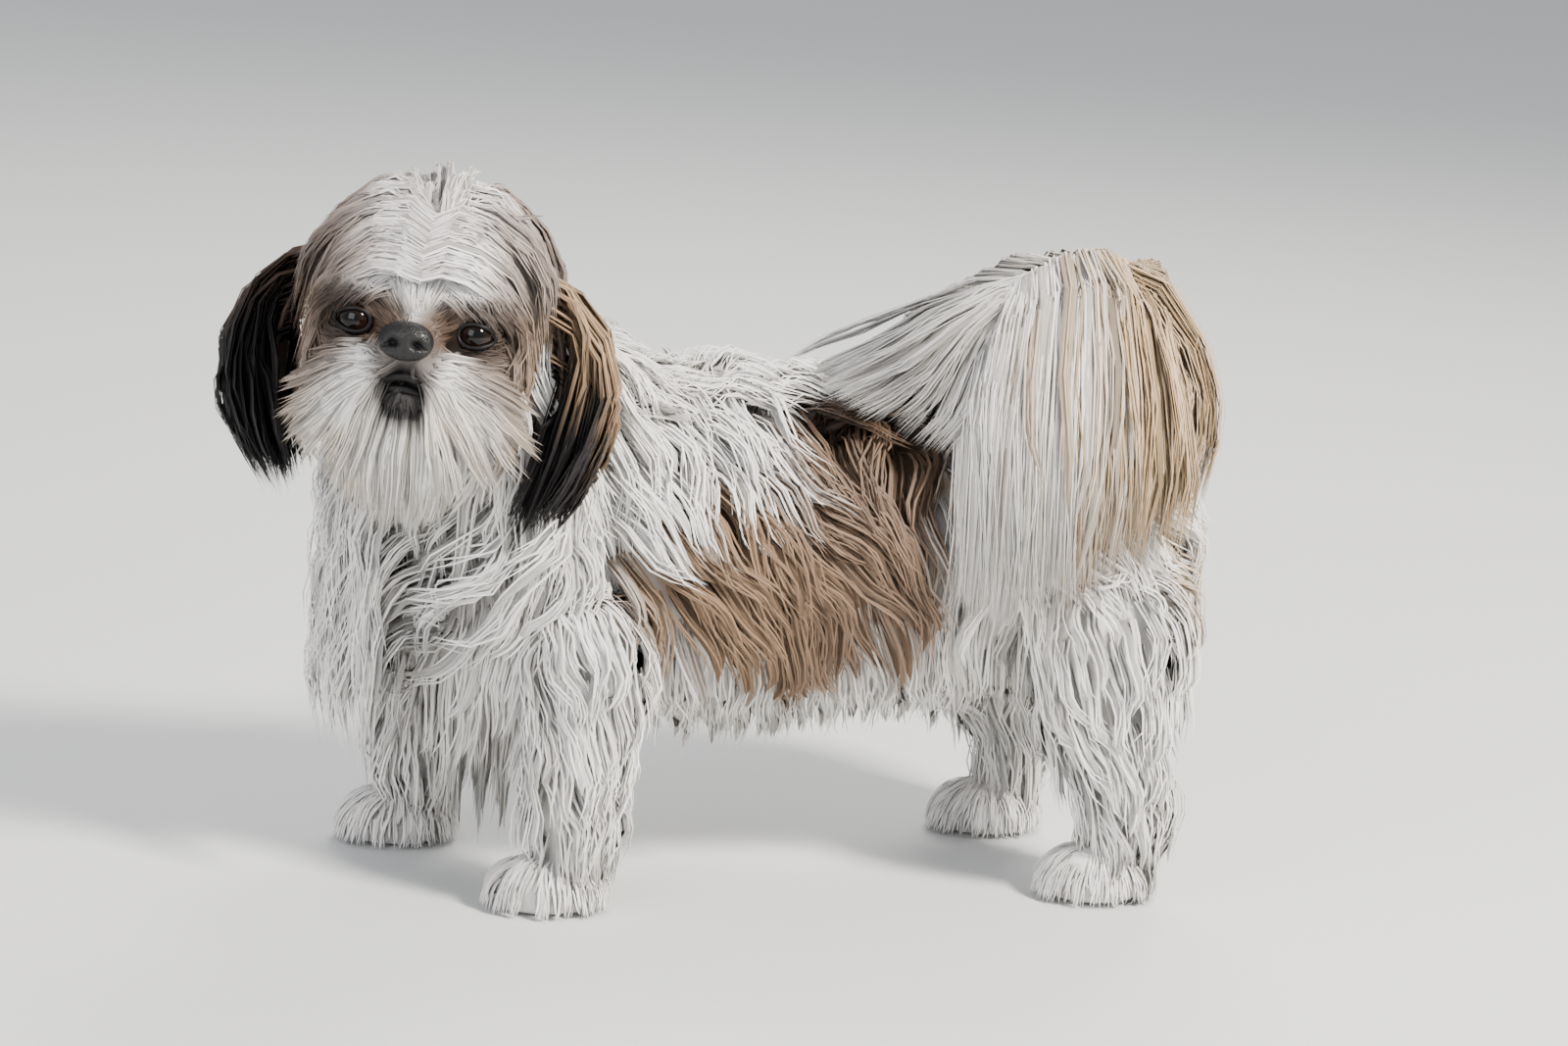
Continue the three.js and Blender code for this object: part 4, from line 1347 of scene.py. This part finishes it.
    def build(self, coat: Coat, hair: bpy.types.Material, lock: bpy.types.Material) -> None:
        """Makes the plume's pieces, each set of hair with its own place on the map."""
        rng, root_line = coat.rng, spline(TAIL_PATH, 101)
        sets = (
            (self._falls, False, 0.10),
            (self._arcs, False, 0.35),
            (self._right, False, 0.6),
            (self._band, True, 0.85),
            (self._stem, False, 0.0),
        )
        grown = [(*make(rng, root_line), is_band, left) for make, is_band, left in sets]
        fine, broad = [], []
        for curves, tone, is_band, left in grown:
            chart = coat.chart_square(len(curves), 0.27 + 0.15 * left, 0.335, 0.07)
            guides = coat.along_curves(curves, np.array(self.centre), chart, 7)
            guides.wave(*((4.5, 62.0) if is_band else (2.2, 90.0)), rng, 9)
            hairs = Strands.from_guides(guides, self.hairs, 6.0, 0.8, 1.05, rng, 0.88)
            fine.append(hairs.tinted(self._paint(np.repeat(tone, self.hairs), is_band), rng, 0.85))
            wide = Strands.from_guides(guides, 1, 0.5, 1.0, 6.0, rng, 0.85)
            # The broad locks carry more painted shade at the root than the fine hair over them.
            broad.append(wide.tinted(self._paint(tone, is_band), rng, 0.75))
        merge(broad).flat().link("coat_tail_locks", lock, "gold_coat")
        whole = merge(fine)
        half = np.arange(len(whole.points)) < len(whole.points) // 2
        for part, mask in (("fall", half), ("crest", ~half)):
            whole.only(mask).link(f"coat_tail_{part}", hair, "gold_coat")


@dataclass
class EarCoat:
    """Long dark hair of one ear, from its leather down."""

    sign: float
    name: str
    length: float
    count: int = 150
    hairs: int = 8

    def build(self, coat: Coat, hair: bpy.types.Material, lock: bpy.types.Material) -> None:
        """Makes the ear's pieces in the head's frame and places them."""
        rng, n, s = coat.rng, self.count, self.sign
        share = rng.uniform(-1, 1, n)
        middle = 1 - share**2
        down = rng.uniform(0, 1, n)
        outer = rng.uniform(0, 1, n)
        tip = -self.length - 9 + 12 * share**2 + rng.uniform(0, 14, n)
        start = 30 - 50 * down
        bulge = 50 + 14 * np.sqrt(down)
        rows = (
            (bulge, 4 + 16 * share, start),
            (bulge + 13 + 12 * outer, 4 + 20 * share, start - 12),
            (61 + 7 * middle + 30 * outer, 2 + 27 * share, 0.5 * start - 34),
            (57 + 4 * middle + 28 * outer, 26 * share, 0.25 * start + 0.68 * tip - 2),
            (51 + 17 * outer, 17 * share, tip),
        )
        curves = curves_of(*((s * x, y, z) for x, y, z in rows))
        chart = coat.chart_square(n, 0.60 if s > 0 else 0.70, 0.34, 0.09)
        guides = coat.along_curves(curves, np.array((0.0, 0.0, -20.0)), chart, 7)
        guides.wave(2.4, 60.0, rng, 10)
        guides = guides.placed()
        fine = Strands.from_guides(guides, self.hairs, 5.5, 0.5, 1.1, rng, 0.85)
        broad = Strands.from_guides(guides, 1, 0.5, 1.0, 6.0, rng, 0.9)
        behind = 0.5 * outer + 0.25 * (share + 1)
        fine.tint = self._tint(fine, np.repeat(behind, self.hairs), rng)
        broad.tint = self._tint(broad, behind, rng)
        broad.flat().link(f"coat_{self.name}_locks", lock, "dark_coat")
        fine.link(f"coat_{self.name}", hair, "dark_coat")

    def _tint(self, hairs: Strands, outer: Array, rng: np.random.Generator) -> Array:
        """Brown above and outside, black below and inside, the left ear more golden than the right.

        Args:
            hairs: The ear's hairs, placed.
            outer: How far outside and behind each hair lies, from 0 to 1.
            rng: Source of the difference between hairs.

        Returns:
            Colours for every point of every hair.
        """
        flat = to_head(hairs.points.reshape(-1, 3))
        z = (flat[:, 2] + 8 * ripple(flat, 30.0, 51)).reshape(hairs.points.shape[:2])
        reach = (outer + rng.normal(0, 0.12, len(outer)))[:, None]
        if self.sign > 0:
            top, edge = Tint.TAN.array(), 14 - 88 * reach
        else:
            top, edge = Tint.UMBER.array() * 1.1, 24 - 50 * reach
        dark = 1 - smoothstep(z - edge, -22, 22)
        colours = top + (Tint.BLACK.array() - top) * dark[..., None]
        return colours * rng.normal(1.0, 0.16, (len(hairs.points), 1, 1)).clip(0.6, 1.5)


@dataclass
class HeadCoat:
    """Crown, brows, cheeks, moustache, beard and the short hair of the face, in the head's own frame."""

    form: HeadForm = field(default_factory=HeadForm)

    def build(self, coat: Coat, hair: bpy.types.Material, lock: bpy.types.Material) -> None:
        """Makes the head's pieces."""
        eyes = [np.array((s * EYE_AT[0], EYE_AT[1] - 11, EYE_AT[2] - 0.5)) for s in (1, -1)]
        long_parts, broad_parts = [], []
        for guides, per, spread, width in self._long(coat):
            fine = Strands.from_guides(guides, per, spread, 0.5, width, coat.rng)
            broad = Strands.from_guides(guides, 1, 0.5, 1.0, 5.0 * width, coat.rng, 0.85)
            for centre in eyes:
                fine = fine.clear_of(centre, np.array((9.0, 14, 6.2)))
                broad = broad.clear_of(centre, np.array((13.5, 18, 10)))
            long_parts.append(self._placed(fine, coat))
            broad_parts.append(self._placed(broad, coat))
        whole = merge(long_parts)
        half = to_head(whole.points[:, 0])[:, 0] > 0
        for side, mask in (("left", half), ("right", ~half)):
            whole.only(mask).link(f"coat_head_{side}", hair, "white_coat")
        merge(broad_parts).flat().link("coat_head_locks", lock, "white_coat")
        short = self._short(coat)
        for centre in eyes:
            short = short.clear_of(centre, np.array((9.2, 15, 6.4)))
        self._placed(short, coat).link("coat_face", hair, "white_coat")

    @staticmethod
    def _placed(hairs: Strands, coat: Coat) -> Strands:
        """Hairs of the head's frame, placed and tinted."""
        hairs.points = from_head(hairs.points)
        hairs.out = hairs.out @ HEAD_BASIS.T
        return hairs.tinted(Markings.head, coat.rng, 0.85, True)

    def _guides(self, coat: Coat, rows: Sequence[tuple], chart: Array, lift: float = 2.0) -> Guides:
        """Guides through rows of places, kept outside the skin.

        Args:
            coat: Makes the guides.
            rows: For each place along the hair, its x, y and z, as arrays or numbers.
            chart: Their places on the map.
            lift: Least height over the skin at the tip.

        Returns:
            The guides.
        """
        guides = coat.along_curves(curves_of(*rows), np.array((0.0, 8.0, -14.0)), chart, 6)
        far = np.linalg.norm(guides.points, axis=-1)
        ways = guides.points / far[..., None]
        least = self.form.radius(ways) + lift * np.linspace(0, 1, 6) ** 0.5
        guides.points = ways * np.maximum(far, least)[..., None]
        return guides

    def _long(self, coat: Coat) -> list[tuple[Guides, int, float, float]]:
        """Guides of the long hair, with hairs for each, their spread and width."""
        return [
            (self._forehead(coat), 9, 4.2, 0.85),
            (self._crown(coat), 8, 5.0, 1.0),
            (self._nape(coat), 6, 5.5, 1.15),
            (self._tuft(coat), 8, 4.0, 0.75),
            (self._brow(coat), 8, 3.0, 0.65),
            (self._cheek(coat), 8, 4.8, 0.95),
            (self._moustache(coat), 9, 3.2, 0.75),
            (self._beard(coat), 10, 4.0, 0.85),
        ]

    @staticmethod
    def _sides(coat: Coat, count: int) -> Array:
        """Left or right for each guide."""
        return np.where(coat.rng.uniform(0, 1, count) < 0.5, 1.0, -1.0)

    def _forehead(self, coat: Coat) -> Guides:
        """Hair that fans from the parting over the forehead and falls beside the eyes."""
        rng, n = coat.rng, 170
        s, q = self._sides(coat, n), rng.uniform(0, 1, n) ** 0.85
        tilt = np.radians(20 + 58 * q)
        y0, z0 = -49 * np.cos(tilt) - 1.5, 4 + 47 * np.sin(tilt)
        puff = rng.uniform(0.3, 1.0, n) * (5 + 9 * q)
        wide = 50 + 9 * q + rng.uniform(-4, 4, n)
        end = -34 + 26 * q + rng.uniform(-8, 10, n)
        rows = (
            (s * rng.uniform(-2.0, 5.0, n), y0, z0),
            (s * (14 + 2 * q), y0 - 1 - 0.4 * puff * (1 - q), z0 + 0.8 * puff + 1),
            (s * (0.62 * wide), y0 + 5 - 2 * q, z0 + 0.5 * puff - 4 - 2 * q),
            (s * (0.92 * wide), 0.8 * y0 + 8, 0.55 * z0 + 0.45 * end + 3),
            (s * (wide + 3), 0.62 * y0 + 8, end),
        )
        chart = coat.chart_square(n, 0.52, 0.60, 0.18)
        return self._guides(coat, rows, chart).wave(1.6, 60.0, rng, 12)

    def _crown(self, coat: Coat) -> Guides:
        """Hair from the top of the head, over the sides and down the nape."""
        rng, n = coat.rng, 250
        s = self._sides(coat, n)
        y = rng.uniform(-30, 46, n)
        nape = smoothstep(y, 20, 44)
        top = 4 + 46 * np.sqrt(1 - np.clip((y - 4) / 52, -1, 1) ** 2)
        puff = rng.uniform(0.35, 1.0, n) * 19
        deep = rng.uniform(0, 1, n) ** 0.5
        wide = 64 - 6 * nape - 11 * (1 - deep)
        end = -8 + 26 * np.abs((y + 8) / 54) - 28 * nape + rng.uniform(-14, 10, n)
        behind = 14 * nape
        rows = (
            (s * rng.uniform(-3, 14, n), y, top),
            (s * 18, y + 3 + behind, top + puff),
            (s * (0.66 * wide), y + 5 + 1.4 * behind, top + 0.25 * puff - 4 * nape),
            (s * (0.95 * wide), y + 4 + 1.5 * behind, 0.6 * top + 0.4 * end - 2),
            (s * wide, y + 3 + behind, end),
        )
        chart = coat.chart_square(n, 0.52, 0.80, 0.18)
        return self._guides(coat, rows, chart).wave(2.2, 66.0, rng, 16)

    def _nape(self, coat: Coat) -> Guides:
        """Hair over the back of the head, down to the neck."""
        rng, n = coat.rng, 150
        side = rng.uniform(-1, 1, n)
        high = rng.uniform(-36, 40, n)
        turn = 1.25 * side
        reach = 47 * np.sqrt(np.clip(1 - ((high - 6) / 48) ** 2, 0.1, 1))
        x, y = reach * np.sin(turn), 4 + reach * np.cos(turn)
        long, out = rng.uniform(44, 66, n), rng.uniform(4, 15, n)
        rows = (
            (x, y, high),
            (x + out * np.sin(turn), y + out * np.cos(turn), high - 0.2 * long),
            (x + 1.3 * out * np.sin(turn), y + 1.3 * out * np.cos(turn), high - 0.6 * long),
            (x + 1.1 * out * np.sin(turn), y + 1.2 * out * np.cos(turn), high - long),
        )
        chart = coat.chart_square(n, 0.84, 0.87, 0.12)
        return self._guides(coat, rows, chart).wave(2.4, 52.0, rng, 19)

    def _tuft(self, coat: Coat) -> Guides:
        """Loose hair that stands up behind the parting and bends over."""
        rng, n = coat.rng, 60
        x, y = rng.uniform(-26, 26, n), rng.uniform(-24, 26, n)
        top = 4 + 45 * np.sqrt(1 - (x / 52) ** 2 - ((y - 4) / 54) ** 2)
        rise = rng.uniform(15, 25, n) * (1 - 0.3 * np.abs(x) / 26)
        lean = x * 0.5 + rng.uniform(-9, 9, n)
        rows = (
            (x, y, top),
            (x + 0.25 * lean, y + 1, top + 0.6 * rise),
            (x + 0.7 * lean, y + 4, top + rise),
            (x + 1.3 * lean, y + rng.uniform(4, 14, n), top + 0.93 * rise + rng.uniform(-3, 4, n)),
        )
        chart = coat.chart_square(n, 0.71, 0.60, 0.12)
        return self._guides(coat, rows, chart).wave(2.0, 40.0, rng, 17)

    def _brow(self, coat: Coat) -> Guides:
        """Hair that overhangs each upper lid and runs out to the temple."""
        rng, n = coat.rng, 90
        s = self._sides(coat, n)
        x, high = rng.uniform(10, 40, n), rng.uniform(0, 1, n)
        z = 9 - 0.14 * (x - 24) + 15 * high
        y = -45 + 0.016 * (x - 10) ** 2 + 5 * high
        rows = (
            (s * x, y + 2, z),
            (s * (x + 5), y - 3, z - 1 - 2 * high),
            (s * (x + 11), y - 4 + 0.1 * x, z - 6 - 4 * high),
            (s * (x + 15), y + 0.22 * x - 1, z - 13 - 7 * high + rng.uniform(-4, 2, n)),
        )
        chart = coat.chart_square(n, 0.84, 0.60, 0.12)
        return self._guides(coat, rows, chart).wave(0.8, 30.0, rng, 18)

    def _cheek(self, coat: Coat) -> Guides:
        """Hair that hangs from the cheeks and behind the jaw."""
        rng, n = coat.rng, 190
        s = self._sides(coat, n)
        y, z = rng.uniform(-30, 30, n), rng.uniform(-34, 14, n)
        out = rng.uniform(0.2, 1.5, n)
        front = smoothstep(-y, -10, 28)
        x = 47 - 10 * front
        long = rng.uniform(38, 58, n)
        rows = (
            (s * x, y, z),
            (s * (x + 5 + 4 * out), y - 2 * front, z - 0.22 * long),
            (s * (x + 6 + 6 * out), y - 4 * front, z - 0.6 * long),
            (s * (x - 1 + 6 * out - 6 * front), y - 3 * front, z - long),
        )
        chart = coat.chart_square(n, 0.71, 0.74, 0.12)
        return self._guides(coat, rows, chart).wave(1.8, 46.0, rng, 13)

    def _moustache(self, coat: Coat) -> Guides:
        """Hair fanned from beside the nose, short towards the eyes and long beside the mouth."""
        rng, n = coat.rng, 230
        s = self._sides(coat, n)
        turn = rng.uniform(0, 1, n)
        fan = np.radians(6 - 88 * turn)
        long = (24 + 30 * smoothstep(turn, 0.0, 0.5)) * rng.uniform(0.75, 1.08, n)
        x = rng.uniform(8, 20, n) + 5 * (1 - turn)
        z = -13 - 11 * turn - rng.uniform(0, 6, n)
        y = -57 + 0.45 * (x - 8) + rng.uniform(0, 3, n)
        full = rng.uniform(0.3, 1.0, n)

        def at(share: float, forward: float) -> tuple[Array, Array, Array]:
            """Places of the hairs at a share of the way along, some millimetres forward."""
            wide = x + np.cos(fan) * long * share
            back = 15 * share**2 * np.cos(fan) + 5 * share**2
            return (s * wide, y - forward * full + back, z + np.sin(fan) * long * share - 5 * share**2)

        rows = (at(0.0, 0.0), at(0.3, 7.0), at(0.65, 8.0), at(1.0, 4.0))
        chart = coat.chart_square(n, 0.84, 0.74, 0.12)
        return self._guides(coat, rows, chart).wave(1.2, 36.0, rng, 14)

    def _beard(self, coat: Coat) -> Guides:
        """Hair from the chin down."""
        rng, n = coat.rng, 150
        share = rng.uniform(-1, 1, n)
        middle = 1 - share**2
        depth = rng.uniform(0, 1, n)
        tip = -88 - 16 * middle + rng.uniform(-3, 16, n)
        rows = (
            (19 * share, -34 - 17 * middle * depth, -37 - 2 * depth),
            (25 * share, -38 - 20 * middle * depth, -50.0),
            (30 * share, -36 - 20 * middle * depth, -68.0),
            (27 * share, -31 - 16 * middle * depth, tip),
        )
        chart = coat.chart_square(n, 0.71, 0.87, 0.12)
        return self._guides(coat, rows, chart).wave(2.0, 42.0, rng, 15)

    def _short(self, coat: Coat) -> Strands:
        """Short hair of the bridge, round the eyes and of the chin, radiating from the nose."""
        rng, count = coat.rng, 1350
        ways = unit(rng.normal(size=(count * 12, 3)))
        p = self.form.surface(ways)[0]
        front = (p[:, 1] < -12) & (p[:, 2] > -50) & (p[:, 2] < 30)
        nose = (((p - np.array(NOSE_AT)) / (np.array(NOSE_HALF) + 0.8)) ** 2).sum(-1) < 1
        ways = ways[front & ~nose][:count]
        layer = rng.uniform(0.5, 1.2, len(ways))

        def lie(p: Array) -> Array:
            """The direction of hair at places, away from the lower edge of the nose."""
            away = p - np.array((0.0, -60.0, -12.0))
            return np.column_stack([away[:, 0] * 1.3, 0.4 * away[:, 1], away[:, 2] + 3])

        def lift(s: float) -> Array:
            """Height of every hair over the skin at a share of the way along."""
            return 3.2 * layer * (1 - (1 - s) ** 1.5)

        guides = coat.on_head(ways, lie, (8, 16), lift, 4)
        return Strands.from_guides(guides, 4, 1.8, 0.7, 0.6, rng, 0.7)


@dataclass
class Skin:
    """One closed skin over head, neck, body, legs and paws, with the ear leather and the tail."""

    lofts: dict[str, Loft]
    voxel: float = 0.0021
    smoothing: int = 6

    def build(self, material: bpy.types.Material) -> None:
        """Joins the forms by a voxel remesh, softens the joins and paints the markings."""
        grids = [self._slim(name, loft).grid() for name, loft in self.lofts.items()]
        ball = sphere_grid(24, 32)
        for centre, half in HEAD_BLOBS:
            grids.append(from_head(ball * np.array(half) + np.array(centre)))
        for x, y in PAW_PLACES.values():
            paw = ball * np.array(PAW_HALF) * 0.93 + np.array((x, y, 11.0))
            paw[..., 2] = np.maximum(paw[..., 2], 0.6)
            grids.append(paw)
        tail_radii = np.interp(np.linspace(0, 4, 30), range(5), TAIL_RADII)
        grids.append(tube_grid(spline(TAIL_PATH, 30), tail_radii))
        grids += [self._ear(s) for s in (1.0, -1.0)]
        holder = bpy.data.objects.new("skin_forms", joined("skin_forms", grids))
        bpy.context.scene.collection.objects.link(holder)
        remesh = holder.modifiers.new("join", "REMESH")
        remesh.mode = "VOXEL"
        remesh.voxel_size = self.voxel
        soften = holder.modifiers.new("soften", "SMOOTH")
        soften.factor = 0.5
        soften.iterations = self.smoothing
        evaluated = holder.evaluated_get(bpy.context.evaluated_depsgraph_get())
        mesh = bpy.data.meshes.new_from_object(evaluated)
        mesh.name = "skin"
        bpy.data.objects.remove(holder)
        co = np.empty(3 * len(mesh.vertices), np.float32)
        mesh.vertices.foreach_get("co", co)
        places = (co.reshape(-1, 3) - SHIFT) / MM
        set_tint(mesh, self._paint(places))
        outward(mesh)
        piece = link_mesh("skin", mesh, material)
        flesh = ["head", "jaw", "neck", "torso", "tail", "ear_left", "ear_right"]
        limbs = ("foreleg", "forepaw", "hindleg", "hindpaw")
        flesh += [f"{limb}_{side}" for limb in limbs for side in ("left", "right")]
        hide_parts(*flesh)

    @staticmethod
    def _slim(name: str, loft: Loft) -> Loft:
        """A leg's skin, slimmer where it joins the body, and any other surface as it is."""
        if "leg" not in name:
            return loft
        thinner = np.array(((12, 14), (4, 5), (0, 0), (0, 0), (0, 0)))
        stations = np.array(loft.stations, float)
        stations[:, 3:5] -= thinner
        return Loft(stations.tolist(), loft.axis)

    @staticmethod
    def _ear(s: float) -> Array:
        """The ear leather: flat elliptical sections across a path that hangs beside the head."""
        path = spline(((42 * s, 6, 26), (58 * s, 6, 16), (68 * s, 4, -14), (68 * s, 2, -44)), 16)
        v = np.linspace(0, 1, 16)
        width = 20 * np.sqrt(1 - 0.8 * np.abs(2 * v - 1) ** 3)
        ahead = unit(np.gradient(path, axis=0))
        side = np.array((0.0, 1.0, 0.0))
        out = unit(np.cross(side, ahead))
        turn = np.linspace(0, 2 * np.pi, 20, endpoint=False)
        across = np.cos(turn)[None, :] * width[:, None]
        thick = np.sin(turn)[None, :] * 2.6
        grid = path[:, None] + side * across[..., None] + out[:, None] * thick[..., None]
        return from_head(grid)

    @staticmethod
    def _paint(places: Array) -> Array:
        """Markings of the body and head over the skin, dark under the ears, and dimmed throughout by painted
        shade, as hair roots are.
        """
        body = Markings.body(places - UP * 24)
        head = Markings.head(places)
        p = to_head(places)
        near = 1 - smoothstep(np.linalg.norm(p * (1, 1, 0.9), axis=-1), 70, 78)
        ear = smoothstep(np.abs(p[:, 0]), 49, 54) * (1 - smoothstep(np.abs(p[:, 2] + 10), 40, 50))
        ear *= 1 - smoothstep(np.abs(p[:, 1] - 3), 24, 30)
        colours = body + (head - body) * near[:, None]
        colours = colours + (Tint.SABLE.array() - colours) * ear[:, None]
        # Painted shade: the whole skin is dimmed, as it lies in the shade of the coat.
        return colours * 0.9


@dataclass
class Eye:
    """One eyeball with its lids' dark rims."""

    sign: float
    name: str
    lid_half: tuple[float, float] = (8.7, 5.4)
    lid_radius: float = 1.0

    def build(self, rim: bpy.types.Material) -> None:
        """Makes the ball, swelled a little in front, and the almond rim that lies on it."""
        s = self.sign
        centre = np.array((s * EYE_AT[0], EYE_AT[1], EYE_AT[2]))
        gaze = unit(np.array((s * 0.16, -1.0, 0.02)))
        ball = sphere_grid(36, 48)
        swell = 1 + 0.05 * smoothstep(ball @ gaze, 0.75, 1.0)
        points = from_head(ball * swell[..., None] * (EYE_RADIUS - 0.2) + centre)
        look = to_shared(from_head((centre + gaze * EYE_RADIUS)[None]))[0]
        finish = EyeFinish(f"{self.name}_wet", tuple(float(v) for v in look))
        ball_name = f"ball_{self.name}"
        piece = link_mesh(ball_name, mesh_of(ball_name, points), finish.material())
        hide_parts(self.name)
        turn = np.linspace(0, 2 * np.pi, 60, endpoint=False)
        x = self.lid_half[0] * np.cos(turn) + s * 1.5
        z = self.lid_half[1] * np.sin(turn) * (1 - 0.18 * np.cos(turn) * s)
        y = -np.sqrt(np.maximum((EYE_RADIUS + 0.6) ** 2 - x**2 - z**2, 9.0))
        path = from_head(np.column_stack([x, y, z]) + centre)
        ahead = unit(np.roll(path, -1, 0) - np.roll(path, 1, 0))
        out = unit(path - from_head(centre[None]))
        side = np.cross(ahead, out)
        grid = path[:, None] + self.lid_radius * rings_about(side, out, 10)
        link_mesh(f"lid_{self.name}", ring_mesh(f"lid_{self.name}", grid), rim)


def ring_mesh(name: str, grid: Array) -> bpy.types.Mesh:
    """A closed ring of sections as a mesh in the shared frame."""
    rings, sides = grid.shape[:2]
    i = np.arange(rings)[:, None]
    j = np.arange(sides)[None, :]
    i2, j2 = (i + 1) % rings, (j + 1) % sides
    faces = np.stack([i * sides + j, i * sides + j2, i2 * sides + j2, i2 * sides + j], -1).reshape(-1, 4)
    mesh = bpy.data.meshes.new(name)
    mesh.from_pydata(to_shared(grid.reshape(-1, 3)).tolist(), [], faces.tolist())
    outward(mesh)
    return mesh


@dataclass
class Muzzle:
    """Nose pad and lips."""

    def build(self, rim: bpy.types.Material) -> None:
        """Makes the pad with its nostrils and groove, and the two lips."""
        ball = sphere_grid(64, 96)
        half = np.array(NOSE_HALF) - 0.2
        squared = np.sign(ball) * np.abs(ball) ** 0.86
        squared /= np.linalg.norm(squared, axis=-1, keepdims=True) ** 0.6
        x, z = squared[..., 0] * half[0], squared[..., 2] * half[2]
        front = smoothstep(-squared[..., 1], 0.1, 0.6)
        hole = np.exp(-(((np.abs(x) - 5.4) / 2.5) ** 2) - ((z + 1.0) / 1.9) ** 2)
        slit = np.exp(-(((np.abs(x) - 9.0) / 3.2) ** 2) - ((z + 2.6 + 0.25 * (np.abs(x) - 9)) / 1.0) ** 2)
        groove = np.exp(-((x / 0.9) ** 2)) * smoothstep(-z, -1.0, 4.0)
        dent = front * (4.6 * hole + 1.8 * slit + 1.1 * groove)
        shape = squared * half
        shape[..., 1] += dent
        grid = from_head(np.clip(shape, -half, half) + np.array(NOSE_AT))
        piece = link_mesh("nose_pad", mesh_of("nose_pad", grid), NoseFinish().material())
        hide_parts("nose")
        for name, places in (("lip_upper", UPPER_LIP), ("lip_lower", LOWER_LIP)):
            path = spline(places, 40)
            radii = 2.1 * np.sqrt(np.sin(np.pi * np.linspace(0.03, 0.97, 40)))
            tube = mesh_of(name, from_head(tube_grid(path, radii)))
            link_mesh(name, tube, rim)


@dataclass
class Studio:
    """Pale floor, soft lights and the camera of the picture."""

    azimuth: float = 71.0
    elevation: float = 12.0
    roll: float = 4.5
    distance: float = 2.19
    target: tuple[float, float, float] = (0.0, -0.0119, 0.1783)
    lens: float = 100.0

    def build(self) -> None:
        """Makes floor, lights, world and camera."""
        self._floor()
        for name, place, size, watts, colour in (
            ("key", (1.9, 1.3, 2.2), 0.6, 230.0, (1.0, 0.95, 0.87)),
            ("fill", (1.9, -2.3, 1.5), 2.0, 55.0, (0.95, 0.97, 1.0)),
            ("rim", (-1.6, 0.9, 2.2), 1.2, 55.0, (1.0, 0.96, 0.9)),
        ):
            self._light(name, place, size, watts, colour)
        world = bpy.data.worlds.new("studio")
        world.use_nodes = True
        world.node_tree.nodes["Background"].inputs["Color"].default_value = (0.9, 0.93, 1.0, 1.0)
        world.node_tree.nodes["Background"].inputs["Strength"].default_value = 0.6
        bpy.context.scene.world = world
        self._camera()

    @staticmethod
    def _floor() -> None:
        """A large pale floor at the height of the soles."""
        reach = 12.0
        mesh = bpy.data.meshes.new("floor")
        corners = [(-reach, -reach, 0), (reach, -reach, 0), (reach, reach, 0), (-reach, reach, 0)]
        mesh.from_pydata(corners, [], [(0, 1, 2, 3)])
        floor = bpy.data.objects.new("floor", mesh)
        bpy.context.scene.collection.objects.link(floor)
        graph = Graph("floor_pale")
        graph.set(Base_Color=(0.72, 0.73, 0.72, 1.0), Roughness=0.85)
        mesh.materials.append(graph.material)

    def _light(
        self, name: str, place: tuple[float, ...], size: float, watts: float, colour: tuple[float, ...]
    ) -> None:
        """An area light that faces the dog's middle."""
        data = bpy.data.lights.new(name, "AREA")
        data.size, data.energy, data.color = size, watts, colour
        lamp = bpy.data.objects.new(name, data)
        back = unit(np.array(place) - np.array((0, 0, 0.18)))
        right = unit(np.cross(UP, back))
        lamp.matrix_world = standing(place, right, np.cross(back, right), back)
        bpy.context.scene.collection.objects.link(lamp)

    def _camera(self) -> None:
        """The camera, turned about its own axis by the picture's roll."""
        a, e, r = (math.radians(v) for v in (self.azimuth, self.elevation, self.roll))
        back = np.array((math.sin(a) * math.cos(e), -math.cos(a) * math.cos(e), math.sin(e)))
        right = unit(np.cross(-back, UP))
        up = np.cross(right, -back)
        rolled = right * math.cos(r) + up * math.sin(r)
        upright = up * math.cos(r) - right * math.sin(r)
        place = np.array(self.target) + back * self.distance + SHIFT
        data = bpy.data.cameras.new("camera")
        data.lens, data.sensor_width = self.lens, 36.0
        camera = bpy.data.objects.new("camera", data)
        camera.matrix_world = standing(place.tolist(), rolled, upright, back)
        bpy.context.scene.collection.objects.link(camera)
        bpy.context.scene.camera = camera


def main() -> None:
    """Builds the studio, the skin, the face and the coat in order."""
    logging.basicConfig(level=logging.INFO, format="%(name)s %(message)s")
    Studio().build()
    down = (0, 0, -1)
    lofts = {
        "torso": Loft(TORSO, (0, 1, 0)),
        "neck": Loft(NECK, (0.15, -0.62, 0.72)),
        "foreleg_left": Loft(FORELEG_LEFT, down),
        "foreleg_right": Loft(FORELEG_RIGHT, down),
        "hindleg_left": Loft(HINDLEG_LEFT, down),
        "hindleg_right": Loft(HINDLEG_RIGHT, down),
    }
    hair = CoatFinish("hair").material()
    lock = CoatFinish("hair_locks", 1.0).material()
    Skin(lofts).build(CoatFinish("skin_coat", 0.0, 0.8).material())
    rim = LeatherFinish("bare_skin").material()
    Eye(1.0, "eye_left").build(rim)
    Eye(-1.0, "eye_right").build(rim)
    Muzzle().build(rim)
    coat = Coat()
    TorsoCoat(lofts["torso"]).build(coat, hair, lock)
    NeckCoat(lofts["neck"]).build(coat, hair, lock)
    for i, (name, loft) in enumerate(list(lofts.items())[2:]):
        LegCoat(name, loft, name.replace("leg", "paw"), 0.27 + 0.06 * i).build(coat, hair, lock)
    TailCoat().build(coat, hair, lock)
    HeadCoat().build(coat, hair, lock)
    EarCoat(1.0, "ear_left", 99.0).build(coat, hair, lock)
    EarCoat(-1.0, "ear_right", 88.0).build(coat, hair, lock)


if __name__ == "__main__":
    main()
